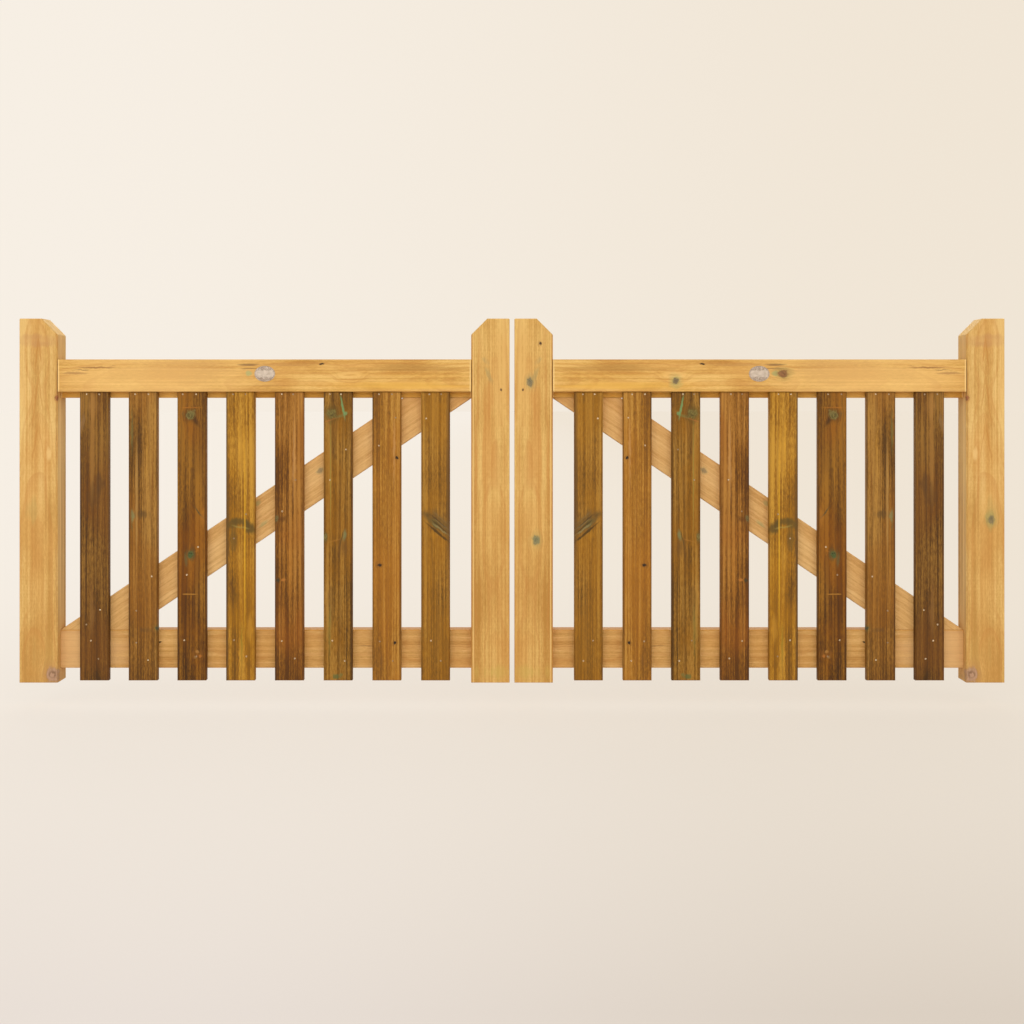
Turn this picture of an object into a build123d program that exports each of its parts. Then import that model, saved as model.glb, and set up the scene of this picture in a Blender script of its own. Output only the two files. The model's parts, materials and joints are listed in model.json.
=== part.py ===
from build123d import *
import math
import os

# A pair of open-pale timber driveway gate leaves on rear hook-and-band hinges, in millimetres.
# X runs across the opening from the left gatepost's face, Y towards the rear, Z up. The front is -Y.
# The origin is the centre of the lower left hook plate's back face, where it bears on the gatepost.
# The left leaf is modelled, and the right leaf and its hooks are its opposite hand.

# Leaf and frame
leaf_width = 1212.0
leaf_height = 900.0
meeting_gap = 12.0
stile_width = 95.0
frame_thickness = 70.0
top_rail_height = 95.0
bottom_rail_height = 95.0
top_horn = 101.0
bottom_horn = 32.0
stile_top_flat = 55.0
stile_top_drop = 40.0
stile_top_arris = 1.5
brace_width = 95.0
frame_arris = 3.0
rail_arris = 2.0

# Pales, and the rebate under the top rail's front lip that takes their heads
pale_count = 8
pale_width = 71.0
pale_thickness = 20.0
pale_setback = 5.0
pale_end_gap = 53.0
pale_foot_lift = 4.0
pale_head_clearance = 1.0
pale_arris = 3.0
rebate_height = 15.0

# Through tenons, wedged from the stiles' outer edges
tenon_thickness = 22.0
tenon_rear_shoulder = 12.0
tenon_edge_shoulder = 10.0
mortise_clearance = 0.2
wedge_length = 50.0
wedge_head = 5.0
wedge_tip = 1.5

# Bands: flat straps rolled into an eye round the pin
pin_radius = 8.0
eye_clearance = 0.4
eye_seat_clearance = 0.3
eye_slit = 1.5
band_thickness = 5.0
band_height = 40.0
band_tip_height = 28.0
band_length = 400.0
band_parallel_length = 110.0
band_bolt_hole = 10.5
band_screw_hole_radius = 3.5
band_stile_hole = 40.0
band_rail_hole = 125.0
band_first_screw = 240.0
band_last_screw = 350.0

# Hooks: a plate on the gatepost, an arm and a shouldered pin
post_gap = 15.0
pin_inset = 13.0
plate_thickness = 6.0
plate_width = 50.0
plate_height = 100.0
plate_corner = 6.0
plate_hole_radius = 4.5
plate_hole_spread_y = 30.0
plate_hole_spread_z = 72.0
pin_overrun = 6.0
pin_end_chamfer = 1.5
shoulder_radius = 11.0
shoulder_height = 24.0
shoulder_top = 2.0
arm_width = 14.0
arm_height = 18.0

# Hinge places
outer_x = post_gap
pin_x = outer_x + pin_inset
eye_bore = pin_radius + eye_clearance
eye_outer = eye_bore + band_thickness
eye_foot = shoulder_top + eye_seat_clearance
band_middle = eye_foot + band_height / 2

# Leaf places
inner_x = outer_x + stile_width
clear_width = leaf_width - 2 * stile_width
middle_x = outer_x + leaf_width / 2
opening_width = 2 * (outer_x + leaf_width) + meeting_gap
rear_y = -eye_outer
front_y = rear_y - frame_thickness
rebate_depth = pale_setback + pale_thickness
rail_front_y = front_y + rebate_depth
rail_thickness = frame_thickness - rebate_depth
foot_z = band_middle - bottom_horn - bottom_rail_height / 2
bottom_rail_z = foot_z + bottom_horn
top_rail_z = foot_z + leaf_height - top_horn - top_rail_height
brace_foot_z = bottom_rail_z + bottom_rail_height
brace_rise = top_rail_z - brace_foot_z
hinge_rise = top_rail_z + top_rail_height / 2 - band_middle
tenon_front_y = rear_y - tenon_rear_shoulder - tenon_thickness


def block(low, high):
    """A solid box between two corners."""
    size = [b - a for a, b in zip(low, high)]
    return Pos(*low) * Box(*size, align=(Align.MIN, Align.MIN, Align.MIN))


def profile_xz(points, y_from, y_to):
    """A solid whose outline is given in X and Z, between two planes across Y."""
    face = make_face(Polyline(*[(x, y_from, z) for x, z in points], close=True))
    return extrude(face, amount=y_to - y_from, dir=(0, 1, 0))


def across_leaf(shape):
    """The same shape at the leaf's other stile."""
    return shape.mirror(Plane(origin=(middle_x, 0, 0), z_dir=(1, 0, 0)))


def opposite_hand(shape):
    """The same shape on the other leaf."""
    return shape.mirror(Plane(origin=(opening_width / 2, 0, 0), z_dir=(1, 0, 0)))


def tenon_span(rail_z, rail_height):
    """The lowest and highest Z of a rail's tenons."""
    return rail_z + tenon_edge_shoulder, rail_z + rail_height - tenon_edge_shoulder


def mortise(rail_z, rail_height):
    """The through mortise for one tenon, flared at the stile's outer edge for its two wedges."""
    low, high = tenon_span(rail_z, rail_height)
    wedge_end_x = outer_x + wedge_length
    outline = [
        (outer_x, low - wedge_head),
        (wedge_end_x, low - wedge_tip),
        (wedge_end_x, low - mortise_clearance),
        (inner_x, low - mortise_clearance),
        (inner_x, high + mortise_clearance),
        (wedge_end_x, high + mortise_clearance),
        (wedge_end_x, high + wedge_tip),
        (outer_x, high + wedge_head),
    ]
    return profile_xz(
        outline,
        tenon_front_y - mortise_clearance,
        tenon_front_y + tenon_thickness + mortise_clearance,
    )


def wedges(rail_z, rail_height):
    """The two wedges that spread one tenon in its mortise."""
    low, high = tenon_span(rail_z, rail_height)
    wedge_end_x = outer_x + wedge_length
    pair = []
    for edge, away in ((low, -1), (high, 1)):
        outline = [
            (outer_x, edge),
            (outer_x, edge + away * wedge_head),
            (wedge_end_x, edge + away * wedge_tip),
            (wedge_end_x, edge),
        ]
        pair.append(profile_xz(outline, tenon_front_y, tenon_front_y + tenon_thickness))
    return pair


def hinge_stile():
    """The stile on the hinge side, its top sloped down towards the pales, with both mortises."""
    top_z = foot_z + leaf_height
    outline = [
        (outer_x, foot_z),
        (inner_x, foot_z),
        (inner_x, top_z - stile_top_drop),
        (outer_x + stile_top_flat, top_z),
        (outer_x, top_z),
    ]
    stile = profile_xz(outline, front_y, rear_y)
    stile = fillet(stile.edges().filter_by(Axis.Z), frame_arris)
    slope, top = stile.faces().sort_by(Axis.Z)[-2:]
    all_but_the_ridge = set(slope.edges()) ^ set(top.edges())
    stile = chamfer(all_but_the_ridge, stile_top_arris)
    stile -= mortise(bottom_rail_z, bottom_rail_height)
    stile -= mortise(top_rail_z, top_rail_height)
    return stile


def through_tenons(rail_z, rail_height):
    """The bar that runs on through both stiles as a rail's tenons."""
    low, high = tenon_span(rail_z, rail_height)
    return block(
        (outer_x, tenon_front_y, low),
        (outer_x + leaf_width, tenon_front_y + tenon_thickness, high),
    )


def top_rail():
    """The full-thickness top rail, rebated under its front lip for the pale heads."""
    low_z, high_z = top_rail_z, top_rail_z + top_rail_height
    rail = block((inner_x, front_y, low_z), (inner_x + clear_width, rear_y, high_z))
    rebate = block(
        (inner_x, front_y, low_z),
        (inner_x + clear_width, rail_front_y, low_z + rebate_height),
    )
    rail -= rebate
    long_edges = rail.edges().filter_by(Axis.X)
    inside_corner = long_edges.sort_by_distance(
        (middle_x, rail_front_y, low_z + rebate_height)
    )[0]
    rail = fillet([e for e in long_edges if e != inside_corner], rail_arris)
    return rail + through_tenons(low_z, top_rail_height)


def bottom_rail():
    """The bottom rail, thinner than the frame so that the pales run down over its face."""
    low_z, high_z = bottom_rail_z, bottom_rail_z + bottom_rail_height
    rail = block(
        (inner_x, rail_front_y, low_z), (inner_x + clear_width, rear_y, high_z)
    )
    rail = fillet(rail.edges().filter_by(Axis.X), rail_arris)
    return rail + through_tenons(low_z, bottom_rail_height)


def brace():
    """The brace, from the hinge stile's foot up to the meeting stile's head, cut level at both ends."""
    # The level cut is as long as the board is wide along the slope, which sets the slope in turn.
    ratio = brace_rise / brace_width
    spread = (ratio**2 - 1) * (brace_rise**2 + clear_width**2) + clear_width**2
    level_cut = (math.sqrt(spread) - clear_width) / (ratio**2 - 1)
    slope = math.degrees(math.atan2(brace_rise, clear_width - level_cut))
    board_length = clear_width + brace_rise
    board = Box(board_length, rail_thickness, brace_width)
    board = fillet(board.edges().filter_by(Axis.X), rail_arris)
    centre = (middle_x, rail_front_y + rail_thickness / 2, brace_foot_z + brace_rise / 2)
    board = Pos(*centre) * Rot(0, -slope, 0) * board
    bay = block(
        (inner_x, rail_front_y, brace_foot_z),
        (inner_x + clear_width, rear_y, brace_foot_z + brace_rise),
    )
    return board & bay


def pale_left_x(number):
    """The left edge of a pale, counted from 0 at the hinge stile."""
    first_x = inner_x + pale_end_gap
    last_x = inner_x + clear_width - pale_end_gap - pale_width
    return first_x + (last_x - first_x) * number / max(1, pale_count - 1)


def pale(number):
    """One pale, nailed over the bottom rail and brace, with its head in the top rail's rebate."""
    low_x = pale_left_x(number)
    face_y = front_y + pale_setback
    low_z = foot_z + pale_foot_lift
    high_z = top_rail_z + rebate_height - pale_head_clearance
    board = block((low_x, face_y, low_z), (low_x + pale_width, rail_front_y, high_z))
    upright_front = board.edges().filter_by(Axis.Z).group_by(Axis.Y)[0]
    foot = board.edges().group_by(Axis.Z)[0]
    foot_front = foot.sort_by(Axis.Y)[0]
    return fillet([*upright_front, foot_front], pale_arris)


def band(middle_z):
    """A band: a strap tapering to a round tip, its other end rolled into the eye for the pin."""
    low_z = middle_z - band_height / 2
    on_pin = Pos(pin_x, 0, low_z)
    centred = (Align.CENTER, Align.CENTER, Align.MIN)
    eye = on_pin * Cylinder(eye_outer, band_height, align=centred)
    strap_end_x = pin_x + band_length
    taper_x = pin_x + band_parallel_length
    tip_centre_x = strap_end_x - band_tip_height / 2
    outline = [
        (pin_x, low_z),
        (taper_x, low_z),
        (tip_centre_x, middle_z - band_tip_height / 2),
        (tip_centre_x, middle_z + band_tip_height / 2),
        (taper_x, low_z + band_height),
        (pin_x, low_z + band_height),
    ]
    strap = profile_xz(outline, rear_y, rear_y + band_thickness)
    tip = Cylinder(band_tip_height / 2, band_thickness, rotation=(90, 0, 0))
    strap += Pos(tip_centre_x, rear_y + band_thickness / 2, middle_z) * tip
    shape = eye + strap
    shape -= on_pin * Cylinder(eye_bore, band_height, align=centred)
    shape -= block(
        (pin_x, -eye_bore, low_z),
        (pin_x + eye_outer, -eye_bore + eye_slit, low_z + band_height),
    )
    square = Box(band_bolt_hole, 3 * band_thickness, band_bolt_hole)
    drilled = Cylinder(band_screw_hole_radius, 3 * band_thickness, rotation=(90, 0, 0))
    holes = [
        (band_stile_hole, square),
        (band_rail_hole, square),
        (band_first_screw, drilled),
        (band_last_screw, drilled),
    ]
    for along, cutter in holes:
        shape -= Pos(pin_x + along, rear_y + band_thickness / 2, middle_z) * cutter
    return shape


def hook(plate_z):
    """A hook: the plate on the gatepost, the arm and the upright pin with the shoulder under the eye."""
    plate = Pos(plate_thickness / 2, 0, plate_z) * Box(
        plate_thickness, plate_width, plate_height
    )
    plate = fillet(plate.edges().filter_by(Axis.X), plate_corner)
    drill = Cylinder(plate_hole_radius, 3 * plate_thickness, rotation=(0, 90, 0))
    for side in (-1, 1):
        for level in (-1, 1):
            y = side * plate_hole_spread_y / 2
            plate -= Pos(0, y, plate_z + level * plate_hole_spread_z / 2) * drill
    shoulder_foot = shoulder_top - shoulder_height
    upright = (Align.CENTER, Align.CENTER, Align.MIN)
    shoulder = Pos(pin_x, 0, plate_z + shoulder_foot) * Cylinder(
        shoulder_radius, shoulder_height, align=upright
    )
    arm_middle = plate_z + shoulder_foot + shoulder_height / 2
    arm = block(
        (plate_thickness, -arm_width / 2, arm_middle - arm_height / 2),
        (pin_x, arm_width / 2, arm_middle + arm_height / 2),
    )
    pin_height = eye_seat_clearance + band_height + pin_overrun
    pin = Cylinder(pin_radius, pin_height, align=upright)
    pin = chamfer(pin.edges().group_by(Axis.Z)[-1], pin_end_chamfer)
    return plate + arm + shoulder + Pos(pin_x, 0, plate_z + shoulder_top) * pin


def leaf_pieces():
    """The left leaf's pieces by name, without the name's hand."""
    stile = hinge_stile()
    pieces = {
        "hinge_stile": stile,
        "meeting_stile": across_leaf(stile),
        "top_rail": top_rail(),
        "bottom_rail": bottom_rail(),
        "brace": brace(),
        "upper_band": band(band_middle + hinge_rise),
        "lower_band": band(band_middle),
    }
    for number in range(pale_count):
        pieces[f"pale_{number + 1}"] = pale(number)
    hinge_side = wedges(bottom_rail_z, bottom_rail_height)
    hinge_side += wedges(top_rail_z, top_rail_height)
    both_sides = hinge_side + [across_leaf(wedge) for wedge in hinge_side]
    pieces["tenon_wedges"] = Part() + both_sides
    return pieces


def main():
    """Builds every piece in both hands and writes one STEP file for each."""
    os.makedirs("parts", exist_ok=True)
    pieces = leaf_pieces()
    pieces["upper_hook"] = hook(hinge_rise)
    pieces["lower_hook"] = hook(0)
    for name, shape in pieces.items():
        export_step(shape, f"parts/left_{name}.step")
        export_step(opposite_hand(shape), f"parts/right_{name}.step")


main()
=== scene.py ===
import json
import logging
import math
from dataclasses import dataclass, field, fields
from enum import Enum

import bpy
from mathutils import Matrix, Vector


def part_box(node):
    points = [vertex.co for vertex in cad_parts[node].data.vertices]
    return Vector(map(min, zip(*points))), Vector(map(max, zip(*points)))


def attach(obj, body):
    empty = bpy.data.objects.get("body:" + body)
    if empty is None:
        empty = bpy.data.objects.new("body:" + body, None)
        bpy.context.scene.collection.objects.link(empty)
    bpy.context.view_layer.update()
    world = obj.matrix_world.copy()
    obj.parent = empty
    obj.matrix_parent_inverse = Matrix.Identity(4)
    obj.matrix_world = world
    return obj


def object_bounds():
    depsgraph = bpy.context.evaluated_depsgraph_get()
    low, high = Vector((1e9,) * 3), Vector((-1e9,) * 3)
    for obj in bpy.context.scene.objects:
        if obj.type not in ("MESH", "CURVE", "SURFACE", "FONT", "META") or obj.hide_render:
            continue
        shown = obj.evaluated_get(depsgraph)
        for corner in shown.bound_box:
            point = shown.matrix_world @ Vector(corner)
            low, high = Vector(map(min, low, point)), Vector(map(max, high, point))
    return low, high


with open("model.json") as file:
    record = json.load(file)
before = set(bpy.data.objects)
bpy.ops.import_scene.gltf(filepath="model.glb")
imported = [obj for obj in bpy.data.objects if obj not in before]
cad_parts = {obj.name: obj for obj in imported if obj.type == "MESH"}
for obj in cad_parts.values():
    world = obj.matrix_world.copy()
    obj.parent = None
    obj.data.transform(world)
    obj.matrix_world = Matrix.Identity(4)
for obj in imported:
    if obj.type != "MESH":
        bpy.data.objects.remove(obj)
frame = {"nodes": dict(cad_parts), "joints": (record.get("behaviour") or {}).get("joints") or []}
cad_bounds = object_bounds()

LOG = logging.getLogger("gate")
MM = 0.001
OUTWARDS = -1.0
INTO_BOARD = 1.0
THROUGH = 1_000_000.0
WORN_WOOD = 0.0016
WORN_STEEL = 0.0008
WORN_NAIL = 0.0002
NAIL_PROUD = 0.4 * MM
PLANER_PITCH = 8.5 * MM

# How many swings a metre each part of the timber's figure has, across, through and along the grain
STREAKS = (60.0, 60.0, 1.3)
PATCHES = (12.0, 12.0, 5.0)
LINES = (215.0, 215.0, 1.8)
FIBRES = (400.0, 400.0, 70.0)
RIPPLES = (30.0, 30.0, 2.6)
WOBBLES = (80.0, 80.0, 50.0)
SWAYS = 3.2

Socket = bpy.types.NodeSocket
Value = bpy.types.NodeSocket | float | int | bool | tuple | bpy.types.Material
Colour = tuple[float, float, float, float]
Point = tuple[float, float, float]
Tone = tuple[int, int, int]


def tone(red: float, green: float, blue: float) -> Colour:
    """Turns a tone read as 0 to 255 on screen into the linear colour that a shader takes."""
    shares = [channel / 255 for channel in (red, green, blue)]
    linear = [s / 12.92 if s <= 0.04045 else ((s + 0.055) / 1.055) ** 2.4 for s in shares]
    return (*linear, 1.0)


class Hand(Enum):
    """The two leaves of the gate, seen from the front."""

    LEFT = "left"
    RIGHT = "right"

    @property
    def body(self) -> str:
        """The frame's body that this leaf's pieces ride on."""
        return f"{self.value}_leaf"

    def node(self, piece: str) -> str:
        """The full name of one of this leaf's pieces."""
        return f"{self.value}_{piece}"

    def place(self, point: Point) -> Point:
        """A place on the left leaf, carried to the same place on this leaf."""
        across, depth, up = point
        return (across, depth, up) if self is Hand.LEFT else (opening_width() - across, depth, up)


class Grain(Enum):
    """The way a board's grain runs, as its slope in degrees from level."""

    UPRIGHT = 90.0
    LEVEL = 0.0
    RISING = 34.1


def opening_width() -> float:
    """The distance between the gateposts' faces, from the frame's two hinge stiles."""
    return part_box("left_hinge_stile")[0].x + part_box("right_hinge_stile")[1].x


class Tree:
    """A node tree with short calls that add a node and return what it puts out."""

    def __init__(self, nodes: bpy.types.NodeTree) -> None:
        """Takes the tree to build in, emptied of what it starts with."""
        self.nodes = nodes
        nodes.nodes.clear()

    def add(self, kind: str, sockets: dict | None = None, **settings: object) -> bpy.types.Node:
        """Adds one node.

        Args:
            kind: The node's type.
            sockets: A value or another node's output for each input, by name or number.
            settings: The node's own choices.

        Returns:
            The new node.
        """
        node = self.nodes.nodes.new(kind)
        for name, value in settings.items():
            setattr(node, name, value)
        for name, value in (sockets or {}).items():
            if isinstance(value, bpy.types.NodeSocket):
                self.nodes.links.new(value, node.inputs[name])
            else:
                node.inputs[name].default_value = value
        return node

    def math(self, operation: str, *values: Value, clamp: bool = False) -> Socket:
        """One sum on numbers."""
        sockets = dict(enumerate(values))
        return self.add("ShaderNodeMath", sockets, operation=operation, use_clamp=clamp).outputs[0]

    def plus(self, first: Value, second: Value) -> Socket:
        """The sum of two numbers."""
        return self.math("ADD", first, second)

    def minus(self, first: Value, second: Value) -> Socket:
        """What is left of the first number without the second."""
        return self.math("SUBTRACT", first, second)

    def times(self, first: Value, second: Value, clamp: bool = False) -> Socket:
        """The product of two numbers."""
        return self.math("MULTIPLY", first, second, clamp=clamp)

    def scaled(self, value: Value, factor: Value, more: Value, clamp: bool = False) -> Socket:
        """A number times a factor, with more added to it."""
        return self.math("MULTIPLY_ADD", value, factor, more, clamp=clamp)

    def vector(self, operation: str, *values: Value, scale: Value | None = None) -> Socket:
        """One sum on vectors."""
        sockets = dict(enumerate(values))
        if scale is not None:
            sockets["Scale"] = scale
        node = self.add("ShaderNodeVectorMath", sockets, operation=operation)
        return node.outputs["Value" if operation in ("LENGTH", "DOT_PRODUCT") else "Vector"]

    def parts(self, vector: Value) -> list[Socket]:
        """The three numbers of a vector."""
        return list(self.add("ShaderNodeSeparateXYZ", {0: vector}).outputs)

    def join(self, across: Value = 0.0, depth: Value = 0.0, up: Value = 0.0) -> Socket:
        """A vector from its three numbers."""
        return self.add("ShaderNodeCombineXYZ", {0: across, 1: depth, 2: up}).outputs[0]

    def ramp(self, value: Value, start: Value, end: Value, low: Value = 0.0, high: Value = 1.0) -> Socket:
        """A number eased from low to high as the value goes from start to end."""
        sockets = {"Value": value, "From Min": start, "From Max": end, "To Min": low, "To Max": high}
        node = self.add("ShaderNodeMapRange", sockets, interpolation_type="SMOOTHSTEP")
        return node.outputs["Result"]

    def mix(self, share: Value, first: Value, second: Value, blend: str = "MIX") -> Socket:
        """A share of the second colour over the first."""
        sockets = {"Factor": share, 6: first, 7: second}
        settings = {"data_type": "RGBA", "blend_type": blend, "clamp_factor": True}
        return self.add("ShaderNodeMix", sockets, **settings).outputs[2]

    def noise(
        self, place: Value, swings: Point | float | None, detail: float = 2.0, roughness: float = 0.5
    ) -> bpy.types.Node:
        """Soft noise.

        Args:
            place: The place in the noise.
            swings: How many swings a unit of the place has, all ways or each way. One, if none are given.
            detail: How much finer noise it has in it.
            roughness: How strong the finer noise is.

        Returns:
            The noise's node.
        """
        if isinstance(swings, float):
            place = self.vector("SCALE", place, scale=swings)
        elif swings:
            place = self.vector("MULTIPLY", place, swings)
        sockets = {"Vector": place, "Scale": 1.0, "Detail": detail, "Roughness": roughness}
        return self.add("ShaderNodeTexNoise", sockets)

    def placed(self, place: Value, centre: Value, turn: Value, size: Value) -> Socket:
        """The place as seen from a centre, turned back and divided by a size."""
        sockets = {"Vector": place, "Location": centre, "Rotation": turn, "Scale": size}
        return self.add("ShaderNodeMapping", sockets, vector_type="TEXTURE").outputs[0]

    def moved(self, mesh: Socket, **change: Socket) -> Socket:
        """A mesh with a Translation, a Rotation or a Scale."""
        return self.add("GeometryNodeTransform", {"Geometry": mesh, **change}).outputs[0]

    def use(self, group: bpy.types.NodeTree, sockets: dict) -> bpy.types.bpy_prop_collection:
        """Adds a group of nodes and returns what it puts out."""
        return self.add("ShaderNodeGroup", sockets, node_tree=group).outputs


class Group(Tree):
    """A node group that several finishes or fasteners share."""

    def __init__(self, name: str, kind: str, inputs: dict[str, tuple], outputs: dict[str, str]) -> None:
        """Makes the empty group.

        Args:
            name: The group's name.
            kind: ShaderNodeTree or GeometryNodeTree.
            inputs: The type and the usual value of each input, by name.
            outputs: The type of each output, by name.
        """
        super().__init__(bpy.data.node_groups.new(name, kind))
        for label, (socket_type, value) in inputs.items():
            socket = self.nodes.interface.new_socket(label, in_out="INPUT", socket_type=socket_type)
            if value is not None:
                socket.default_value = value
        for label, socket_type in outputs.items():
            self.nodes.interface.new_socket(label, in_out="OUTPUT", socket_type=socket_type)
        self.given = self.add("NodeGroupInput").outputs

    def close(self, **results: Socket) -> bpy.types.NodeTree:
        """Joins the group's outputs, named with underscores for spaces, and returns the group."""
        sockets = {label.replace("_", " "): socket for label, socket in results.items()}
        self.add("NodeGroupOutput", sockets)
        return self.nodes


NUMBER = "NodeSocketFloat"
VECTOR = "NodeSocketVector"
COLOUR = "NodeSocketColor"


def shader_inputs(vectors: str = "", colours: str = "", **numbers: float) -> dict[str, tuple]:
    """The inputs of a shader group.

    Args:
        vectors: The names of those that are vectors.
        colours: The names of those that are colours.
        numbers: The usual values of those that are numbers, named with underscores for spaces.

    Returns:
        The type and the usual value of each input, by name.
    """
    inputs = {label: (VECTOR, None) for label in vectors.split()}
    inputs |= {label: (COLOUR, None) for label in colours.split()}
    return inputs | {label.replace("_", " "): (NUMBER, value) for label, value in numbers.items()}


def knot_field_group() -> bpy.types.NodeTree:
    """The group that bends the grain round a knot and says how far a point is from its heart."""
    inputs = shader_inputs("Grain Place Centre Size Turn", Rise=0.0, Spread=0.8, Swell=0.0)
    outputs = {"Grain": VECTOR, "Rise": NUMBER, "Distance": NUMBER, "Fleck": NUMBER}
    tree = Group("knot_field", "ShaderNodeTree", inputs, outputs)
    given = tree.given
    seen = tree.placed(given["Place"], given["Centre"], given["Turn"], given["Size"])
    distance = tree.vector("LENGTH", seen)
    near = tree.ramp(distance, 0.6, 2.8, 1.0, 0.0)
    aside = tree.vector("SUBTRACT", given["Grain"], given["Centre"])
    aside = tree.vector("MULTIPLY", aside, (1.0, 0.0, 0.0))
    pulled = tree.times(near, given["Spread"])
    grain = tree.vector("SUBTRACT", given["Grain"], tree.vector("SCALE", aside, scale=pulled))
    rise = tree.scaled(near, given["Swell"], given["Rise"])
    own = tree.vector("MULTIPLY", seen, (3.4, 0.4, 1.3))
    own = tree.vector("ADD", own, tree.vector("SCALE", given["Centre"], scale=100.0))
    fleck = tree.noise(own, None, 4.0, 0.65).outputs[0]
    return tree.close(Grain=grain, Rise=rise, Distance=distance, Fleck=fleck)


def knot_paint_group() -> bpy.types.NodeTree:
    """The group that colours a knot: its rings, its dark rim and the tinted wood round it."""
    numbers = {"Distance": 0.0, "Fleck": 0.5, "Streak": 0.5, "Rings": 3.0, "Halo_share": 0.5, "Strength": 1.0}
    inputs = shader_inputs(colours="Colour Heart Rim Halo", **numbers)
    tree = Group("knot_paint", "ShaderNodeTree", inputs, {"Colour": COLOUR})
    given = tree.given
    ragged = tree.scaled(given["Streak"], 0.9, given["Distance"])
    halo = tree.ramp(ragged, 0.9, 2.9, 1.0, 0.0)
    halo = tree.times(halo, given["Halo share"])
    colour = tree.mix(halo, given["Colour"], given["Halo"])
    broken = tree.ramp(given["Fleck"], 0.4, 0.6)
    turns = tree.times(given["Distance"], tree.times(given["Rings"], math.tau))
    turns = tree.scaled(given["Fleck"], 9.0, turns)
    rings = tree.scaled(tree.math("SINE", turns), 0.25, tree.times(broken, 0.65))
    rim = tree.times(tree.ramp(given["Distance"], 0.6, 0.95), broken)
    knot = tree.mix(tree.math("MAXIMUM", rings, rim, clamp=True), given["Heart"], given["Rim"])
    inside = tree.scaled(given["Fleck"], 1.5, given["Distance"])
    inside = tree.ramp(inside, 1.35, 1.95, 1.0, 0.0)
    inside = tree.times(inside, given["Strength"])
    return tree.close(Colour=tree.mix(inside, colour, knot))


def stain_or_light_group() -> bpy.types.NodeTree:
    """The group for a soft mark that runs out along the grain's own streaks: it draws the stains, and the
    painted highlights and painted shade, alike.
    """
    numbers = {"Streak": 0.5, "Strength": 0.5, "Ragged": 1.2, "Soft": 1.0, "Waver": 0.01}
    inputs = shader_inputs("Place Centre Size Turn Shift", "Colour Paint", **numbers)
    tree = Group("stain", "ShaderNodeTree", inputs, {"Colour": COLOUR})
    given = tree.given
    place = tree.vector("ADD", given["Place"], tree.vector("SCALE", given["Shift"], scale=given["Waver"]))
    seen = tree.placed(place, given["Centre"], given["Turn"], given["Size"])
    ragged = tree.scaled(given["Streak"], given["Ragged"], tree.vector("LENGTH", seen))
    inner = tree.scaled(given["Soft"], -0.3, 1.0)
    outer = tree.scaled(given["Soft"], 0.7, 1.0)
    share = tree.ramp(ragged, inner, outer, 1.0, 0.0)
    share = tree.times(share, given["Strength"])
    return tree.close(Colour=tree.mix(share, given["Colour"], given["Paint"]))


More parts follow.
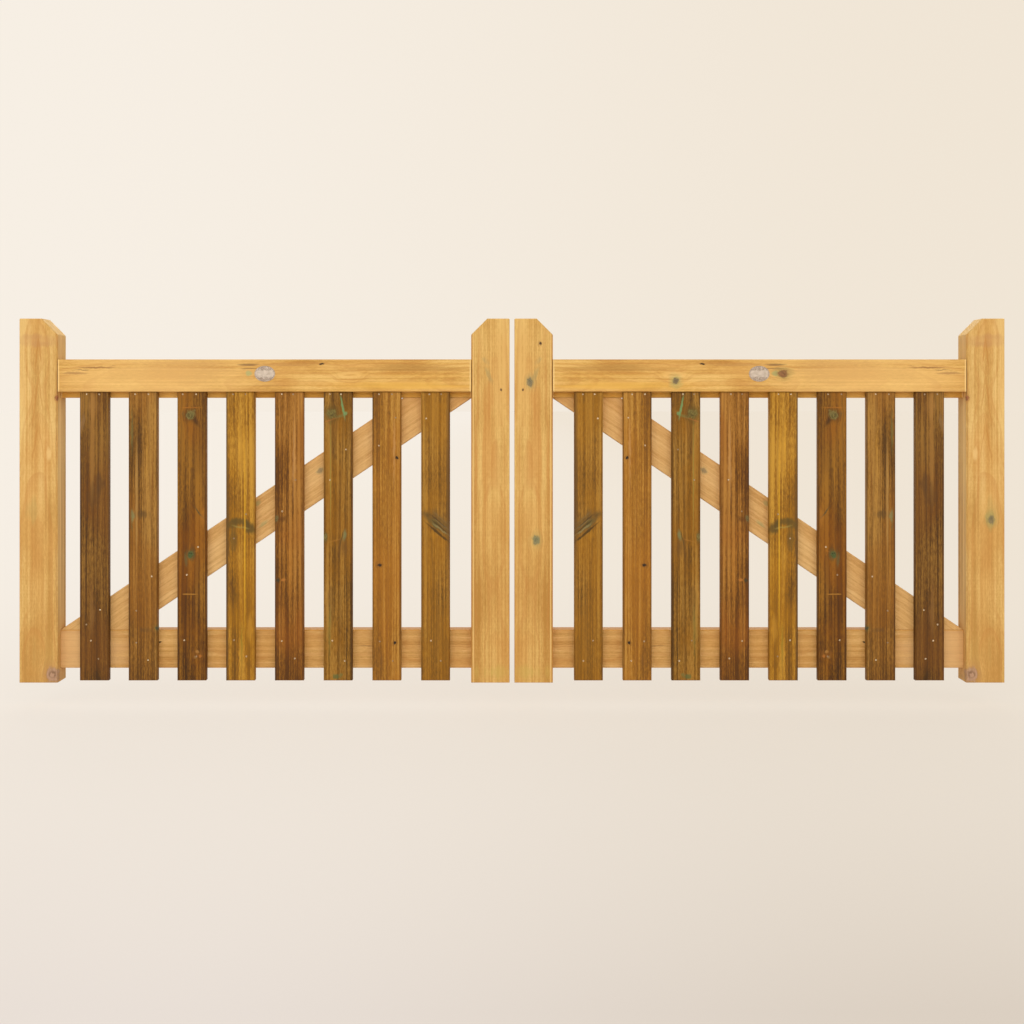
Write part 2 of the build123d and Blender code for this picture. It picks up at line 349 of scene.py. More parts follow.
def timber_group() -> bpy.types.NodeTree:
    """The group for sawn softwood: growth rings round a pith, streaks, fibres and planer marks."""
    sizes = {"Spacing": 0.005, "Wander": 0.01, "Half_width": 0.04, "Half_depth": 0.01, "Length": 1.0}
    shares = {"Ring": 0.4, "Streak": 0.4, "Blotch": 0.2, "Line": 0.3, "Fibre": 0.2, "Warm": 0.3}
    shares |= {"Planer": 0.0, "Edge": 0.0, "End": 0.5}
    numbers = sizes | {f"{name}_share": share for name, share in shares.items()}
    numbers |= {"Rise": 0.0, "Run": 0.0, "Slant": 0.0, "Endwise": 0.0}
    colours = "Light Body Dark Late Warm Edge End"
    inputs = shader_inputs("Grain Place Seed Pith Lean", colours, **numbers)
    outputs = {"Colour": COLOUR, "Height": NUMBER, "Roughness": NUMBER, "Streak": NUMBER}
    tree = Group("timber", "ShaderNodeTree", inputs, outputs)
    given = tree.given
    late = ring_lines(tree)
    seeded = tree.vector("ADD", given["Grain"], given["Seed"])
    streak = tree.noise(seeded, STREAKS, 2.0, 0.55).outputs[0]
    streak = tree.ramp(streak, 0.3, 0.7)
    place = tree.vector("ADD", given["Place"], given["Seed"])
    blotch = tree.noise(place, PATCHES).outputs
    light_patch = tree.ramp(blotch[0], 0.32, 0.68)
    warm_patch = tree.ramp(tree.parts(blotch[1])[2], 0.42, 0.66)
    line = tree.noise(seeded, LINES, 2.0, 0.6).outputs[0]
    line = tree.ramp(line, 0.38, 0.62)
    fibre = tree.noise(seeded, FIBRES, 3.0, 0.75).outputs[0]
    fibre = tree.ramp(fibre, 0.36, 0.64)
    side, depth, along = tree.parts(given["Place"])
    planer = tree.math("SINE", tree.times(along, math.tau / PLANER_PITCH))
    planer = tree.times(planer, tree.times(light_patch, given["Planer share"]))
    side = tree.math("DIVIDE", side, given["Half width"])
    run = tree.minus(tree.math("DIVIDE", along, given["Length"]), 0.5)
    tint = tree.scaled(run, given["Run"], 0.5)
    tint = tree.scaled(tree.times(side, 0.5), given["Slant"], tint)
    parts = {"Streak share": streak, "Line share": line, "Blotch share": light_patch, "Fibre share": fibre}
    for share, part in parts.items():
        tint = tree.scaled(tree.minus(part, 0.5), given[share], tint)
    tint = tree.plus(tint, planer)
    lower = tree.times(tint, 2.0, clamp=True)
    upper = tree.scaled(tint, 2.0, -1.0, clamp=True)
    colour = tree.mix(lower, given["Dark"], given["Body"])
    colour = tree.mix(upper, colour, given["Light"])
    colour = tree.mix(tree.times(warm_patch, given["Warm share"]), colour, given["Warm"])
    colour = tree.mix(tree.times(late, given["Ring share"]), colour, given["Late"])
    # The edge tone darkens the arrises and the narrow side faces: partly the stain soaked in deeper there,
    # partly painted shade on the rounded arrises and side faces.
    inwards = tree.minus(1.0, tree.math("ABSOLUTE", side))
    inwards = tree.times(inwards, given["Half width"])
    sunk = tree.minus(given["Half depth"], tree.math("ABSOLUTE", depth))
    inwards = tree.plus(inwards, sunk)
    inwards = tree.scaled(line, 0.002, inwards)
    edge = tree.times(tree.ramp(inwards, 0.0005, 0.0055, 1.0, 0.0), given["Edge share"])
    end = tree.times(tree.ramp(given["Endwise"], 0.45, 0.68), given["End share"])
    colour = tree.mix(end, colour, given["End"])
    colour = tree.mix(tree.times(edge, tree.minus(1.0, end)), colour, given["Edge"])
    height = tree.scaled(fibre, 0.5, tree.times(late, 0.35))
    height = tree.plus(height, planer)
    roughness = tree.ramp(fibre, 0.0, 1.0, 0.62, 0.78)
    roughness = tree.scaled(late, -0.08, roughness)
    return tree.close(Colour=colour, Height=height, Roughness=roughness, Streak=streak)


def ring_lines(tree: Group) -> Socket:
    """The dark latewood of each growth ring round a pith that sways and leans.

    Args:
        tree: The timber group, whose grain, pith and spacing it uses.

    Returns:
        The share of latewood, from 0 to 1, stronger in some years than in others.
    """
    given = tree.given
    along = tree.parts(given["Grain"])[2]
    upward = tree.join(up=tree.times(along, SWAYS))
    sway = tree.noise(tree.vector("ADD", given["Seed"], upward), None, 2.0, 0.6).outputs[1]
    sway = tree.vector("SCALE", tree.vector("SUBTRACT", sway, (0.5, 0.5, 0.5)), scale=given["Wander"])
    axis = tree.vector("ADD", given["Pith"], tree.vector("SCALE", given["Lean"], scale=along))
    from_pith = tree.vector("SUBTRACT", given["Grain"], tree.vector("ADD", axis, sway))
    from_pith = tree.vector("MULTIPLY", from_pith, (1.0, 1.0, 0.0))
    seeded = tree.vector("ADD", given["Grain"], given["Seed"])
    ripple = tree.noise(seeded, RIPPLES).outputs[0]
    radius = tree.plus(tree.vector("LENGTH", from_pith), given["Rise"])
    radius = tree.scaled(ripple, tree.times(given["Wander"], 0.15), radius)
    years = tree.math("DIVIDE", radius, given["Spacing"])
    uneven = tree.add("ShaderNodeTexNoise", {"W": years, "Scale": 0.35}, noise_dimensions="1D")
    years = tree.scaled(uneven.outputs[0], 2.4, years)
    season = tree.math("FRACT", years)
    late = tree.times(tree.ramp(season, 0.45, 0.93), tree.ramp(season, 0.95, 1.0, 1.0, 0.0))
    year = {"W": tree.math("FLOOR", years)}
    weight = tree.add("ShaderNodeTexWhiteNoise", year, noise_dimensions="1D").outputs[0]
    return tree.times(late, tree.scaled(weight, 0.7, 0.3))


class Finish:
    """What every finish shares: a new material with one surface shader."""

    @staticmethod
    def start(name: str) -> tuple[bpy.types.Material, Tree]:
        """A new material and its emptied tree."""
        material = bpy.data.materials.new(name)
        material.use_nodes = True
        return material, Tree(material.node_tree)

    @staticmethod
    def surface(tree: Tree, sockets: dict, height: Socket, depth: float, arris: float) -> None:
        """Adds the surface shader, its relief and the output.

        Args:
            tree: The material's tree.
            sockets: The surface shader's inputs.
            height: The relief, from 0 to 1.
            depth: How deep the relief is, in metres.
            arris: The radius of the worn edges, in metres.
        """
        worn = tree.add("ShaderNodeBevel", {"Radius": arris}, samples=3).outputs[0]
        bumps = {"Height": height, "Distance": depth, "Strength": 1.0, "Normal": worn}
        relief = tree.add("ShaderNodeBump", bumps)
        shader = tree.add("ShaderNodeBsdfPrincipled", {**sockets, "Normal": relief.outputs[0]})
        tree.add("ShaderNodeOutputMaterial", {"Surface": shader.outputs[0]})


def sockets_for(owner: object, *names: str) -> dict[str, Value]:
    """The inputs that a node group takes from an object's own fields.

    Args:
        owner: The knot, stain or timber.
        names: Its fields, each of which is named as its socket is.

    Returns:
        Each field's value by its socket's name, with a tone turned into a colour.
    """
    values = {name.replace("_", " ").capitalize(): getattr(owner, name) for name in names}
    return {name: tone(*value) if isinstance(value, tuple) else value for name, value in values.items()}


@dataclass(frozen=True)
class Mark:
    """A mark on a board, in millimetres: across from its middle and along from its foot."""

    across: float
    along: float
    width: float
    height: float
    turn: float = field(default=0.0, kw_only=True)
    depth: float = field(default=THROUGH, kw_only=True)

    def placing(self, front: float) -> dict[str, Value]:
        """The centre on the board's front, the size and the turn, as a mark's node group takes them."""
        return {
            "Centre": (self.across * MM, front, self.along * MM),
            "Size": (self.width / 2 * MM, self.depth * MM, self.height / 2 * MM),
            "Turn": (0.0, math.radians(self.turn), 0.0),
        }


@dataclass(frozen=True)
class Knot(Mark):
    """A branch's foot in the board, with its own rings, that the grain flows round."""

    heart: Tone = (150, 104, 62)
    rim: Tone = (92, 66, 42)
    halo: Tone = (176, 124, 66)
    halo_share: float = 0.5
    rings: float = 2.0
    spread: float = 0.5
    swell: float = 0.0
    strength: float = 1.0

    def bending(self) -> dict[str, Value]:
        """How far the knot pushes the grain aside and lifts its rings."""
        return {"Spread": self.spread, "Swell": self.swell * MM}

    def painting(self) -> dict[str, Value]:
        """The knot's tones, as its paint group takes them."""
        return sockets_for(self, "rings", "heart", "rim", "halo", "halo_share", "strength")


@dataclass(frozen=True)
class StainOrPaintedLight(Mark):
    """A mark of another tone: soft and streaky, or crisp where ragged and soft are small. Most are the wood's
    own stains and patches; others are painted light: painted highlights along arrises and rail ends, and
    painted shade along arrises, in the shoulder joints, under the lip and at the brace's top.
    """

    paint: Tone
    strength: float = 0.5
    ragged: float = 1.2
    soft: float = 1.0
    waver: float = 11.0

    def painting(self) -> dict[str, Value]:
        """The stain's tone and its edge, as its group takes them."""
        return sockets_for(self, "paint", "strength", "ragged", "soft") | {"Waver": self.waver * MM}


@dataclass(frozen=True)
class Timber:
    """The tones and figure of one kind of board, with its lengths in millimetres."""

    light: Tone
    body: Tone
    dark: Tone
    late: Tone
    warm: Tone
    spacing: float = 6.0
    wander: float = 36.0
    ring_share: float = 0.35
    streak_share: float = 0.3
    line_share: float = 0.34
    blotch_share: float = 0.4
    fibre_share: float = 0.34
    warm_share: float = 0.3
    planer_share: float = 0.0
    edge: Tone = (120, 80, 40)
    edge_share: float = 0.0
    end: Tone = (238, 194, 118)
    end_share: float = 0.6
    relief: float = 0.25

    def tones(self) -> dict[str, Value]:
        """The finish's share of the timber group's inputs."""
        lengths = {"Spacing": self.spacing * MM, "Wander": self.wander * MM}
        own = [item.name for item in fields(self) if item.name not in ("spacing", "wander", "relief")]
        return sockets_for(self, *own) | lengths


def frame_timber(light: Tone, body: Tone, dark: Tone, **figure: float) -> Timber:
    """The finish of the frame's pale golden timber, with orange-brown lines and patches."""
    return Timber(light, body, dark, late=(190, 128, 60), warm=(208, 148, 74), **figure)


def pale_timber(*tones: Tone, streak_share: float = 0.4, blotch_share: float = 0.5) -> Timber:
    """The finish of a stained pale, with broad patches, fine straight lines and dark arrises, which are
    partly deeper stain and partly painted shade.
    """
    return Timber(
        *tones,
        spacing=6.5,
        wander=14.0,
        ring_share=0.4,
        streak_share=streak_share,
        line_share=0.6,
        blotch_share=blotch_share,
        fibre_share=0.5,
        warm_share=0.5,
        # The dark edge tone: partly deeper stain, partly painted shade on the arrises and side faces.
        edge=(74, 47, 18),
        edge_share=0.75,
        end=(146, 100, 60),
    )


HINGE_STILE = frame_timber((227, 189, 118), (208, 163, 91), (185, 136, 67), planer_share=0.03)
MEETING_STILE = frame_timber((224, 183, 108), (204, 158, 85), (181, 130, 60), planer_share=0.03)
TOP_RAIL = frame_timber(
    (231, 188, 111), (210, 162, 84), (182, 128, 58),
    ring_share=0.45, line_share=0.38, streak_share=0.2, blotch_share=0.65,
)
BOTTOM_RAIL = frame_timber(
    (226, 182, 116), (208, 159, 90), (184, 132, 66),
    streak_share=0.2, blotch_share=0.25, line_share=0.4,
)
BRACE_BOARD = frame_timber(
    (230, 187, 124), (216, 169, 104), (194, 144, 80),
    ring_share=0.15, streak_share=0.2, blotch_share=0.25, line_share=0.4,
)
UMBER = pale_timber((144, 102, 41), (105, 68, 21), (65, 42, 13), (63, 38, 12), (118, 71, 21))
CHESTNUT = pale_timber((170, 123, 54), (132, 89, 29), (84, 54, 16), (79, 46, 13), (144, 89, 24))
WALNUT = pale_timber((151, 102, 31), (114, 72, 15), (66, 39, 9), (61, 35, 8), (140, 80, 10))
GOLDEN = pale_timber((194, 143, 51), (153, 103, 24), (99, 65, 18), (109, 69, 17), (171, 115, 17))
RUSSET = pale_timber((174, 120, 50), (136, 87, 24), (88, 52, 12), (86, 46, 10), (143, 80, 17))
OLIVE = pale_timber((166, 121, 50), (132, 89, 23), (82, 55, 15), (76, 48, 13), (146, 93, 11))
AMBER = pale_timber(
    (189, 138, 60), (157, 106, 32), (116, 74, 22), (122, 72, 19), (168, 106, 27),
    streak_share=0.34, blotch_share=0.3,
)
TAWNY = pale_timber(
    (175, 127, 49), (142, 96, 27), (95, 64, 19), (93, 60, 15), (158, 104, 17),
    streak_share=0.34, blotch_share=0.4,
)

MOSS = (92, 92, 42)
SOOT = (52, 40, 26)
COAL = (36, 28, 20)
ASH = (150, 128, 96)
CREAM = (238, 200, 130)
TOFFEE = (188, 126, 56)
SUN = (218, 164, 40)


@dataclass(frozen=True)
class Board:
    """One board of a leaf: its place in the frame, its figure and its marks."""

    piece: str
    grain: Grain
    timber: Timber
    seed: float
    pith: tuple[float, float]
    lean: tuple[float, float] = (0.0, 0.0)
    run: float = 0.0
    slant: float = 0.0
    marks: tuple[Knot | StainOrPaintedLight, ...] = ()
    right_marks: tuple[Knot | StainOrPaintedLight, ...] = ()

    def span(self) -> tuple[Vector, Vector]:
        """The board's box corners on the left leaf, from the frame."""
        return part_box(Hand.LEFT.node(self.piece))

    def origin(self) -> Vector:
        """The board's foot on its middle line, on the left leaf."""
        low, high = self.span()
        middle = (low + high) / 2
        if self.grain is Grain.UPRIGHT:
            return Vector((middle.x, middle.y, low.z))
        if self.grain is Grain.LEVEL:
            return Vector((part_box("left_hinge_stile")[1].x, middle.y, middle.z))
        return middle

    def half_width(self) -> float:
        """Half the board's width across its face."""
        low, high = self.span()
        if self.grain is Grain.UPRIGHT:
            return (high.x - low.x) / 2
        if self.grain is Grain.LEVEL:
            return (high.z - low.z) / 2
        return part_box("left_bottom_rail")[1].z / 2

    def length(self) -> float:
        """The board's length along its grain."""
        low, high = self.span()
        return high.z - low.z if self.grain is Grain.UPRIGHT else high.x - low.x

    def front(self) -> float:
        """The board's front face, through the board from its middle."""
        low, high = self.span()
        half = (high.y - low.y) / 2
        return -half if self.grain is Grain.UPRIGHT else half

    def turn(self) -> tuple[float, float, float]:
        """The turn from the board's own axes, across, through and along, to the leaf's."""
        slope = math.radians(self.grain.value)
        along = Vector((math.cos(slope), 0.0, math.sin(slope)))
        across = Vector((math.sin(slope), 0.0, -math.cos(slope)))
        if self.grain is not Grain.UPRIGHT:
            across.negate()
        through = along.cross(across)
        return tuple(Matrix((across, through, along)).transposed().to_euler())

    def place(self, tree: Tree, hand: Hand) -> Socket:
        """The place on the board, across, through and along, in metres."""
        place = tree.add("ShaderNodeTexCoord").outputs["Object"]
        if hand is Hand.RIGHT:
            place = tree.placed(place, (opening_width(), 0, 0), (0, 0, 0), (-1, 1, 1))
        return tree.placed(place, tuple(self.origin()), self.turn(), (1, 1, 1))

    def dress(self, hand: Hand, groups: dict[str, bpy.types.NodeTree]) -> bpy.types.Material:
        """Makes this board's material.

        Args:
            hand: The leaf that the board is on.
            groups: The shared node groups by name.

        Returns:
            The material, with its knots, its stains and its painted highlights and shade in place.
        """
        material, tree = Finish.start(hand.node(self.piece))
        place = self.place(tree, hand)
        marks = self.marks + (self.right_marks if hand is Hand.RIGHT else ())
        knots = [mark for mark in marks if isinstance(mark, Knot)]
        stains_and_lights = [mark for mark in marks if isinstance(mark, StainOrPaintedLight)]
        wobble = tree.noise(place, WOBBLES, 4.0, 0.65).outputs[1]
        shift = tree.vector("SUBTRACT", wobble, (0.5, 0.5, 0.5))
        uneven = tree.vector("ADD", place, tree.vector("SCALE", shift, scale=14.0 * MM))
        grain, rise, bends = place, 0.0, []
        for knot in knots:
            sockets = {"Grain": grain, "Place": uneven, "Rise": rise}
            sockets |= knot.placing(self.front()) | knot.bending()
            bent = tree.use(groups["knot_field"], sockets)
            grain, rise = bent["Grain"], bent["Rise"]
            bends.append(bent)
        sockets = {"Grain": grain, "Place": place, "Rise": rise, "Endwise": self.endwise(tree, hand)}
        sockets |= self.figure() | self.timber.tones()
        timber = tree.use(groups["timber"], sockets)
        colour = timber["Colour"]
        for stain in stains_and_lights:
            sockets = {"Colour": colour, "Place": place, "Shift": shift, "Streak": timber["Streak"]}
            sockets |= stain.placing(self.front()) | stain.painting()
            colour = tree.use(groups["stain"], sockets)[0]
        for knot, bent in zip(knots, bends):
            sockets = {"Colour": colour, "Distance": bent["Distance"], "Fleck": bent["Fleck"]}
            sockets |= {"Streak": timber["Streak"], **knot.painting()}
            colour = tree.use(groups["knot_paint"], sockets)[0]
        sockets = {"Base Color": colour, "Roughness": timber["Roughness"], "Specular IOR Level": 0.2}
        Finish.surface(tree, sockets, timber["Height"], self.timber.relief * MM, WORN_WOOD)
        return material

    def endwise(self, tree: Tree, hand: Hand) -> Socket:
        """How squarely the surface cuts the grain, from 0 on the faces to 1 on a sawn end."""
        normal = tree.add("ShaderNodeTexCoord").outputs["Normal"]
        slope = math.radians(self.grain.value)
        level = math.cos(slope) if hand is Hand.LEFT else -math.cos(slope)
        return tree.math("ABSOLUTE", tree.vector("DOT_PRODUCT", normal, (level, 0.0, math.sin(slope))))

    def figure(self) -> dict[str, Value]:
        """The board's own share of the timber group's inputs."""
        return {
            "Seed": (self.seed, self.seed * 1.7, self.seed * 2.3),
            "Pith": (self.pith[0] * MM, self.pith[1] * MM, 0.0),
            "Lean": (self.lean[0], self.lean[1], 0.0),
            "Half width": self.half_width(),
            "Half depth": abs(self.front()),
            "Length": self.length(),
            "Run": self.run,
            "Slant": self.slant,
        }


@dataclass(frozen=True)
class Galvanised:
    """Hot-dipped steel: soft grey spangle, duller in patches, with the weather as swings a metre."""

    bright: Colour = tone(176, 180, 182)
    dull: Colour = tone(128, 132, 134)
    spangle: float = 9.0 * MM
    weather: float = 35.0

    def dress(self) -> bpy.types.Material:
        """Makes the finish."""
        material, tree = Finish.start("galvanised_steel")
        place = tree.add("ShaderNodeTexCoord").outputs["Object"]
        cells = {"Vector": place, "Scale": 1 / self.spangle, "Randomness": 1.0}
        crystal = tree.parts(tree.add("ShaderNodeTexVoronoi", cells).outputs["Color"])[0]
        weather = tree.noise(place, self.weather, 4.0, 0.6).outputs[0]
        share = tree.scaled(crystal, 0.45, tree.times(weather, 0.5))
        colour = tree.mix(tree.ramp(share, 0.15, 0.75), self.dull, self.bright)
        roughness = tree.ramp(share, 0.2, 0.8, 0.62, 0.42)
        sockets = {"Base Color": colour, "Roughness": roughness, "Metallic": 0.75}
        Finish.surface(tree, sockets, weather, 0.15 * MM, WORN_STEEL)
        return material


@dataclass(frozen=True)
class Zinc:
    """The dulled zinc on a nail head, brighter in patches, and worn off some heads more than others."""

    bright: Colour = tone(226, 204, 166)
    dull: Colour = tone(138, 108, 72)
    patches: float = 420.0
    wear: float = 31.0

    def dress(self) -> bpy.types.Material:
        """Makes the finish."""
        material, tree = Finish.start("nail_zinc")
        place = tree.add("ShaderNodeTexCoord").outputs["Object"]
        patches = tree.noise(place, self.patches, 3.0, 0.6).outputs[0]
        worn = tree.noise(place, self.wear, 1.0).outputs[0]
        share = tree.times(tree.ramp(patches, 0.35, 0.6), tree.ramp(worn, 0.4, 0.56, 0.15, 1.0))
        colour = tree.mix(share, self.dull, self.bright)
        roughness = tree.ramp(patches, 0.3, 0.7, 0.6, 0.45)
        sockets = {"Base Color": colour, "Roughness": roughness, "Metallic": 0.3}
        Finish.surface(tree, sockets, patches, 0.1 * MM, WORN_NAIL)
        return material


@dataclass(frozen=True)
class PlateMetal:
    """The bare metal of the oval plate: brushed in the middle, tarnished and pitted above and below."""

    pale: Colour = tone(208, 192, 174)
    dark: Colour = tone(172, 154, 136)
    tarnish: Colour = tone(128, 106, 88)
    mottles: float = 110.0
    brushing: Point = (60.0, 60.0, 2600.0)
    pits: float = 520.0

    def dress(self, name: str, centre: Point, half_width: float, half_height: float) -> bpy.types.Material:
        """Makes the finish for one plate.

        Args:
            name: The material's name.
            centre: The middle of the plate.
            half_width: Half the plate's width.
            half_height: Half its height.

        Returns:
            The material.
        """
        material, tree = Finish.start(name)
        place = tree.add("ShaderNodeTexCoord").outputs["Object"]
        seen = tree.placed(place, centre, (0.0, 0.0, 0.0), (half_width, half_width, half_height))
        _, _, up = tree.parts(seen)
        outwards = tree.vector("LENGTH", tree.vector("MULTIPLY", seen, (1.0, 0.0, 1.0)))
        mottle = tree.noise(place, self.mottles, 4.0, 0.65).outputs[0]
        brushed = tree.noise(place, self.brushing).outputs[0]
        pits = tree.noise(place, self.pits, 3.0, 0.6).outputs[0]
        share = tree.scaled(brushed, 0.5, tree.times(mottle, 0.5))
        colour = tree.mix(tree.ramp(share, 0.34, 0.64), self.dark, self.pale)
        outer = tree.times(tree.ramp(tree.math("ABSOLUTE", up), 0.3, 0.5), 0.75)
        outer = tree.math("MAXIMUM", outer, tree.ramp(outwards, 0.84, 0.92, 0.0, 0.6))
        outer = tree.times(outer, tree.ramp(outwards, 0.9, 0.99, 1.0, 0.55))
        colour = tree.mix(tree.times(outer, tree.ramp(pits, 0.4, 0.56)), colour, self.tarnish)
        roughness = tree.ramp(share, 0.35, 0.65, 0.5, 0.38)
        sockets = {"Base Color": colour, "Roughness": roughness, "Metallic": 0.5}
        Finish.surface(tree, sockets, brushed, 0.05 * MM, WORN_NAIL)
        return material


HINGE_STILE_MARKS = (
    Knot(46, 705, 12, 14, depth=9, heart=(176, 108, 66), rim=(84, 56, 38), halo_share=0.3),
    Knot(
        35, 20, 36, 40, depth=28, heart=(180, 142, 112), rim=(124, 90, 62),
        halo=(184, 136, 80), rings=1.5, swell=10,
    ),
    StainOrPaintedLight(43, 8, 12, 20, (128, 84, 46), 0.6, ragged=0.8),
    StainOrPaintedLight(-2, 846, 116, 26, (192, 142, 92), 0.34, ragged=0.35),
    StainOrPaintedLight(12, 836, 60, 14, (180, 128, 84), 0.22, ragged=0.5),
    StainOrPaintedLight(-16, 856, 50, 12, (186, 134, 84), 0.2, ragged=0.5),
    StainOrPaintedLight(-13, 425, 44, 60, (170, 160, 96), 0.22),
    StainOrPaintedLight(20, 70, 70, 90, (186, 146, 76), 0.4),
    StainOrPaintedLight(14, 560, 34, 190, (196, 132, 64), 0.4),
    StainOrPaintedLight(26, 566, 14, 40, CREAM, 0.6),
    StainOrPaintedLight(-4, 815, 3, 64, TOFFEE, 0.55, turn=6, ragged=0.5, waver=4),
    StainOrPaintedLight(4, 815, 3, 64, TOFFEE, 0.55, turn=-6, ragged=0.5, waver=4),
    StainOrPaintedLight(-7, 700, 3.5, 110, TOFFEE, 0.5, turn=7, ragged=0.6, waver=4),
    StainOrPaintedLight(7, 705, 3.5, 100, TOFFEE, 0.5, turn=-7, ragged=0.6, waver=4),
    StainOrPaintedLight(-9, 590, 3.5, 90, TOFFEE, 0.45, turn=9, ragged=0.6, waver=4),
    StainOrPaintedLight(8, 592, 3.5, 90, TOFFEE, 0.45, turn=-9, ragged=0.6, waver=4),
    # Painted light: the stile's inner side face and its arris painted lighter, for the light falling on that
    # side.
    StainOrPaintedLight(49.5, 450, 4.2, 4000, (240, 200, 130), 0.75, ragged=0.25, soft=0.3, waver=0),
    # Painted shade: two dark lines along the front face beside the inner arris.
    StainOrPaintedLight(44, 610, 4, 420, (160, 110, 58), 0.6, ragged=0.8, soft=0.6, waver=4),
    StainOrPaintedLight(44, 250, 5, 420, (168, 116, 62), 0.5, ragged=0.8, soft=0.6, waver=4),
    # Painted shadow: a dark line in the gap at the top rail's shoulder, on the stile's arris.
    StainOrPaintedLight(46.6, 751, 2.6, 100, (92, 60, 30), 0.7, ragged=0.2, soft=0.3, waver=1, depth=6),
)

HINGE_STILE_RIGHT_MARKS = (
    Knot(-13, 403, 20, 24, heart=(140, 122, 84), rim=(104, 96, 70), halo=(150, 152, 92)),
)

MEETING_STILE_MARKS = (
    Knot(26, 725, 5, 7, heart=(110, 78, 48), rim=(84, 60, 38), halo_share=0.3),
    StainOrPaintedLight(-18, 800, 14, 30, (176, 150, 96), 0.5, turn=-40),
    StainOrPaintedLight(-4, 760, 12, 50, (160, 144, 92), 0.5, turn=-24),
    StainOrPaintedLight(-6, 700, 60, 90, (200, 136, 66), 0.35),
    StainOrPaintedLight(-2, 560, 70, 240, (200, 134, 64), 0.4),
    StainOrPaintedLight(4, 26, 76, 44, (196, 166, 84), 0.5),
    # Painted highlight and painted shade: a light line on the front face near the inner arris, and a darker
    # one on the arris and inner side face.
    StainOrPaintedLight(-42.0, 420, 3.2, 1100, CREAM, 0.6, ragged=0.3, soft=0.5, waver=1),
    StainOrPaintedLight(-46.6, 400, 3.4, 1000, (186, 122, 54), 0.7, ragged=0.4, soft=0.5, waver=2),
    # Painted shadow: a dark line in the gap at the top rail's shoulder, on the stile's arris.
    StainOrPaintedLight(-46.6, 751, 2.6, 100, (96, 64, 32), 0.7, ragged=0.2, soft=0.3, waver=1, depth=6),
)

MEETING_STILE_RIGHT_MARKS = (
    Knot(-17, 839, 7, 9, heart=(88, 64, 44), rim=(60, 44, 32)),
    Knot(9, 743, 17, 24, heart=(146, 130, 94), rim=(96, 88, 66), halo=(170, 152, 96)),
    Knot(-6, 353, 18, 26, heart=(142, 132, 90), rim=(108, 108, 78), halo=(178, 156, 92)),
)

TOP_RAIL_MARKS = (
    Knot(9, 722, 24, 40, halo_share=0.0, swell=9, spread=0.2, strength=0.0),
    StainOrPaintedLight(9, 722, 22, 50, (232, 188, 112), 0.6, ragged=0.5),
    StainOrPaintedLight(19, 722, 3, 56, TOFFEE, 0.5, ragged=0.5, waver=5),
    StainOrPaintedLight(-2, 724, 3, 60, TOFFEE, 0.5, ragged=0.5, waver=5),
    StainOrPaintedLight(9, 722, 3, 26, TOFFEE, 0.5, ragged=0.5, waver=5),
    Knot(37, 653, 4, 14, heart=SOOT, rim=SOOT, halo_share=0.2),
    StainOrPaintedLight(-4, 250, 110, 460, (244, 200, 126), 0.45, ragged=0.6),
    StainOrPaintedLight(-20, 880, 26, 240, (232, 184, 86), 0.5),
    StainOrPaintedLight(-24, 850, 60, 420, (228, 172, 74), 0.3),
    StainOrPaintedLight(28, 95, 7, 120, (150, 104, 58), 0.8, ragged=1.1),
    StainOrPaintedLight(22, 60, 5, 60, (128, 92, 56), 0.7, ragged=1.1),
    StainOrPaintedLight(31, 135, 4, 50, (140, 100, 60), 0.5, ragged=1.6),
    StainOrPaintedLight(14, 40, 8, 60, (160, 112, 66), 0.55, ragged=1.1),
    StainOrPaintedLight(34, 472, 5, 44, (110, 82, 52), 0.7, ragged=0.8, waver=5),
    StainOrPaintedLight(25, 478, 4, 50, (136, 98, 56), 0.6, ragged=0.8, waver=5),
    StainOrPaintedLight(33, 570, 9, 150, (176, 124, 68), 0.45),
    StainOrPaintedLight(28, 860, 16, 260, (176, 132, 66), 0.5),
    StainOrPaintedLight(12, 472, 12, 12, (140, 174, 120), 0.5, ragged=0.7),
    # Painted shade: a deeper, more saturated tone on the recessed face under the lip, where the lip's shadow
    # falls.
    StainOrPaintedLight(-40, 511, 15, 2400, (222, 162, 44), 0.42, ragged=0.2, soft=0.4, waver=1, depth=50),
    # Painted highlight: a light line at each end of the rail, where its end arris catches the light.
    StainOrPaintedLight(0, 2.2, 110, 3.6, CREAM, 0.8, ragged=0.2, soft=0.4, waver=1),
    StainOrPaintedLight(0, 1019.8, 110, 3.6, CREAM, 0.8, ragged=0.2, soft=0.4, waver=1),
)

TOP_RAIL_RIGHT_MARKS = (
    Knot(-6, 718, 18, 18, heart=(132, 112, 80), rim=(98, 86, 64), halo=(150, 160, 104)),
    Knot(12, 453, 20, 26, heart=(150, 104, 64), rim=(96, 66, 44), halo=(150, 130, 70), swell=8),
)

BOTTOM_RAIL_MARKS = (
    Knot(16, 248, 6, 9, heart=SOOT, rim=(84, 60, 36), halo_share=0.3),
    StainOrPaintedLight(0, 30, 150, 260, (232, 188, 132), 0.5, ragged=0.5),
    # Painted shade: the rail's top face and top arris tinted a deeper, darker orange, for how that face takes
    # the light.
    StainOrPaintedLight(47.5, 511, 5, 4000, (206, 144, 62), 0.65, ragged=0.2, soft=0.3, waver=0),
    StainOrPaintedLight(8, 765, 5, 60, (150, 102, 56), 0.6),
    StainOrPaintedLight(-6, 760, 4, 50, (150, 102, 56), 0.5),
)

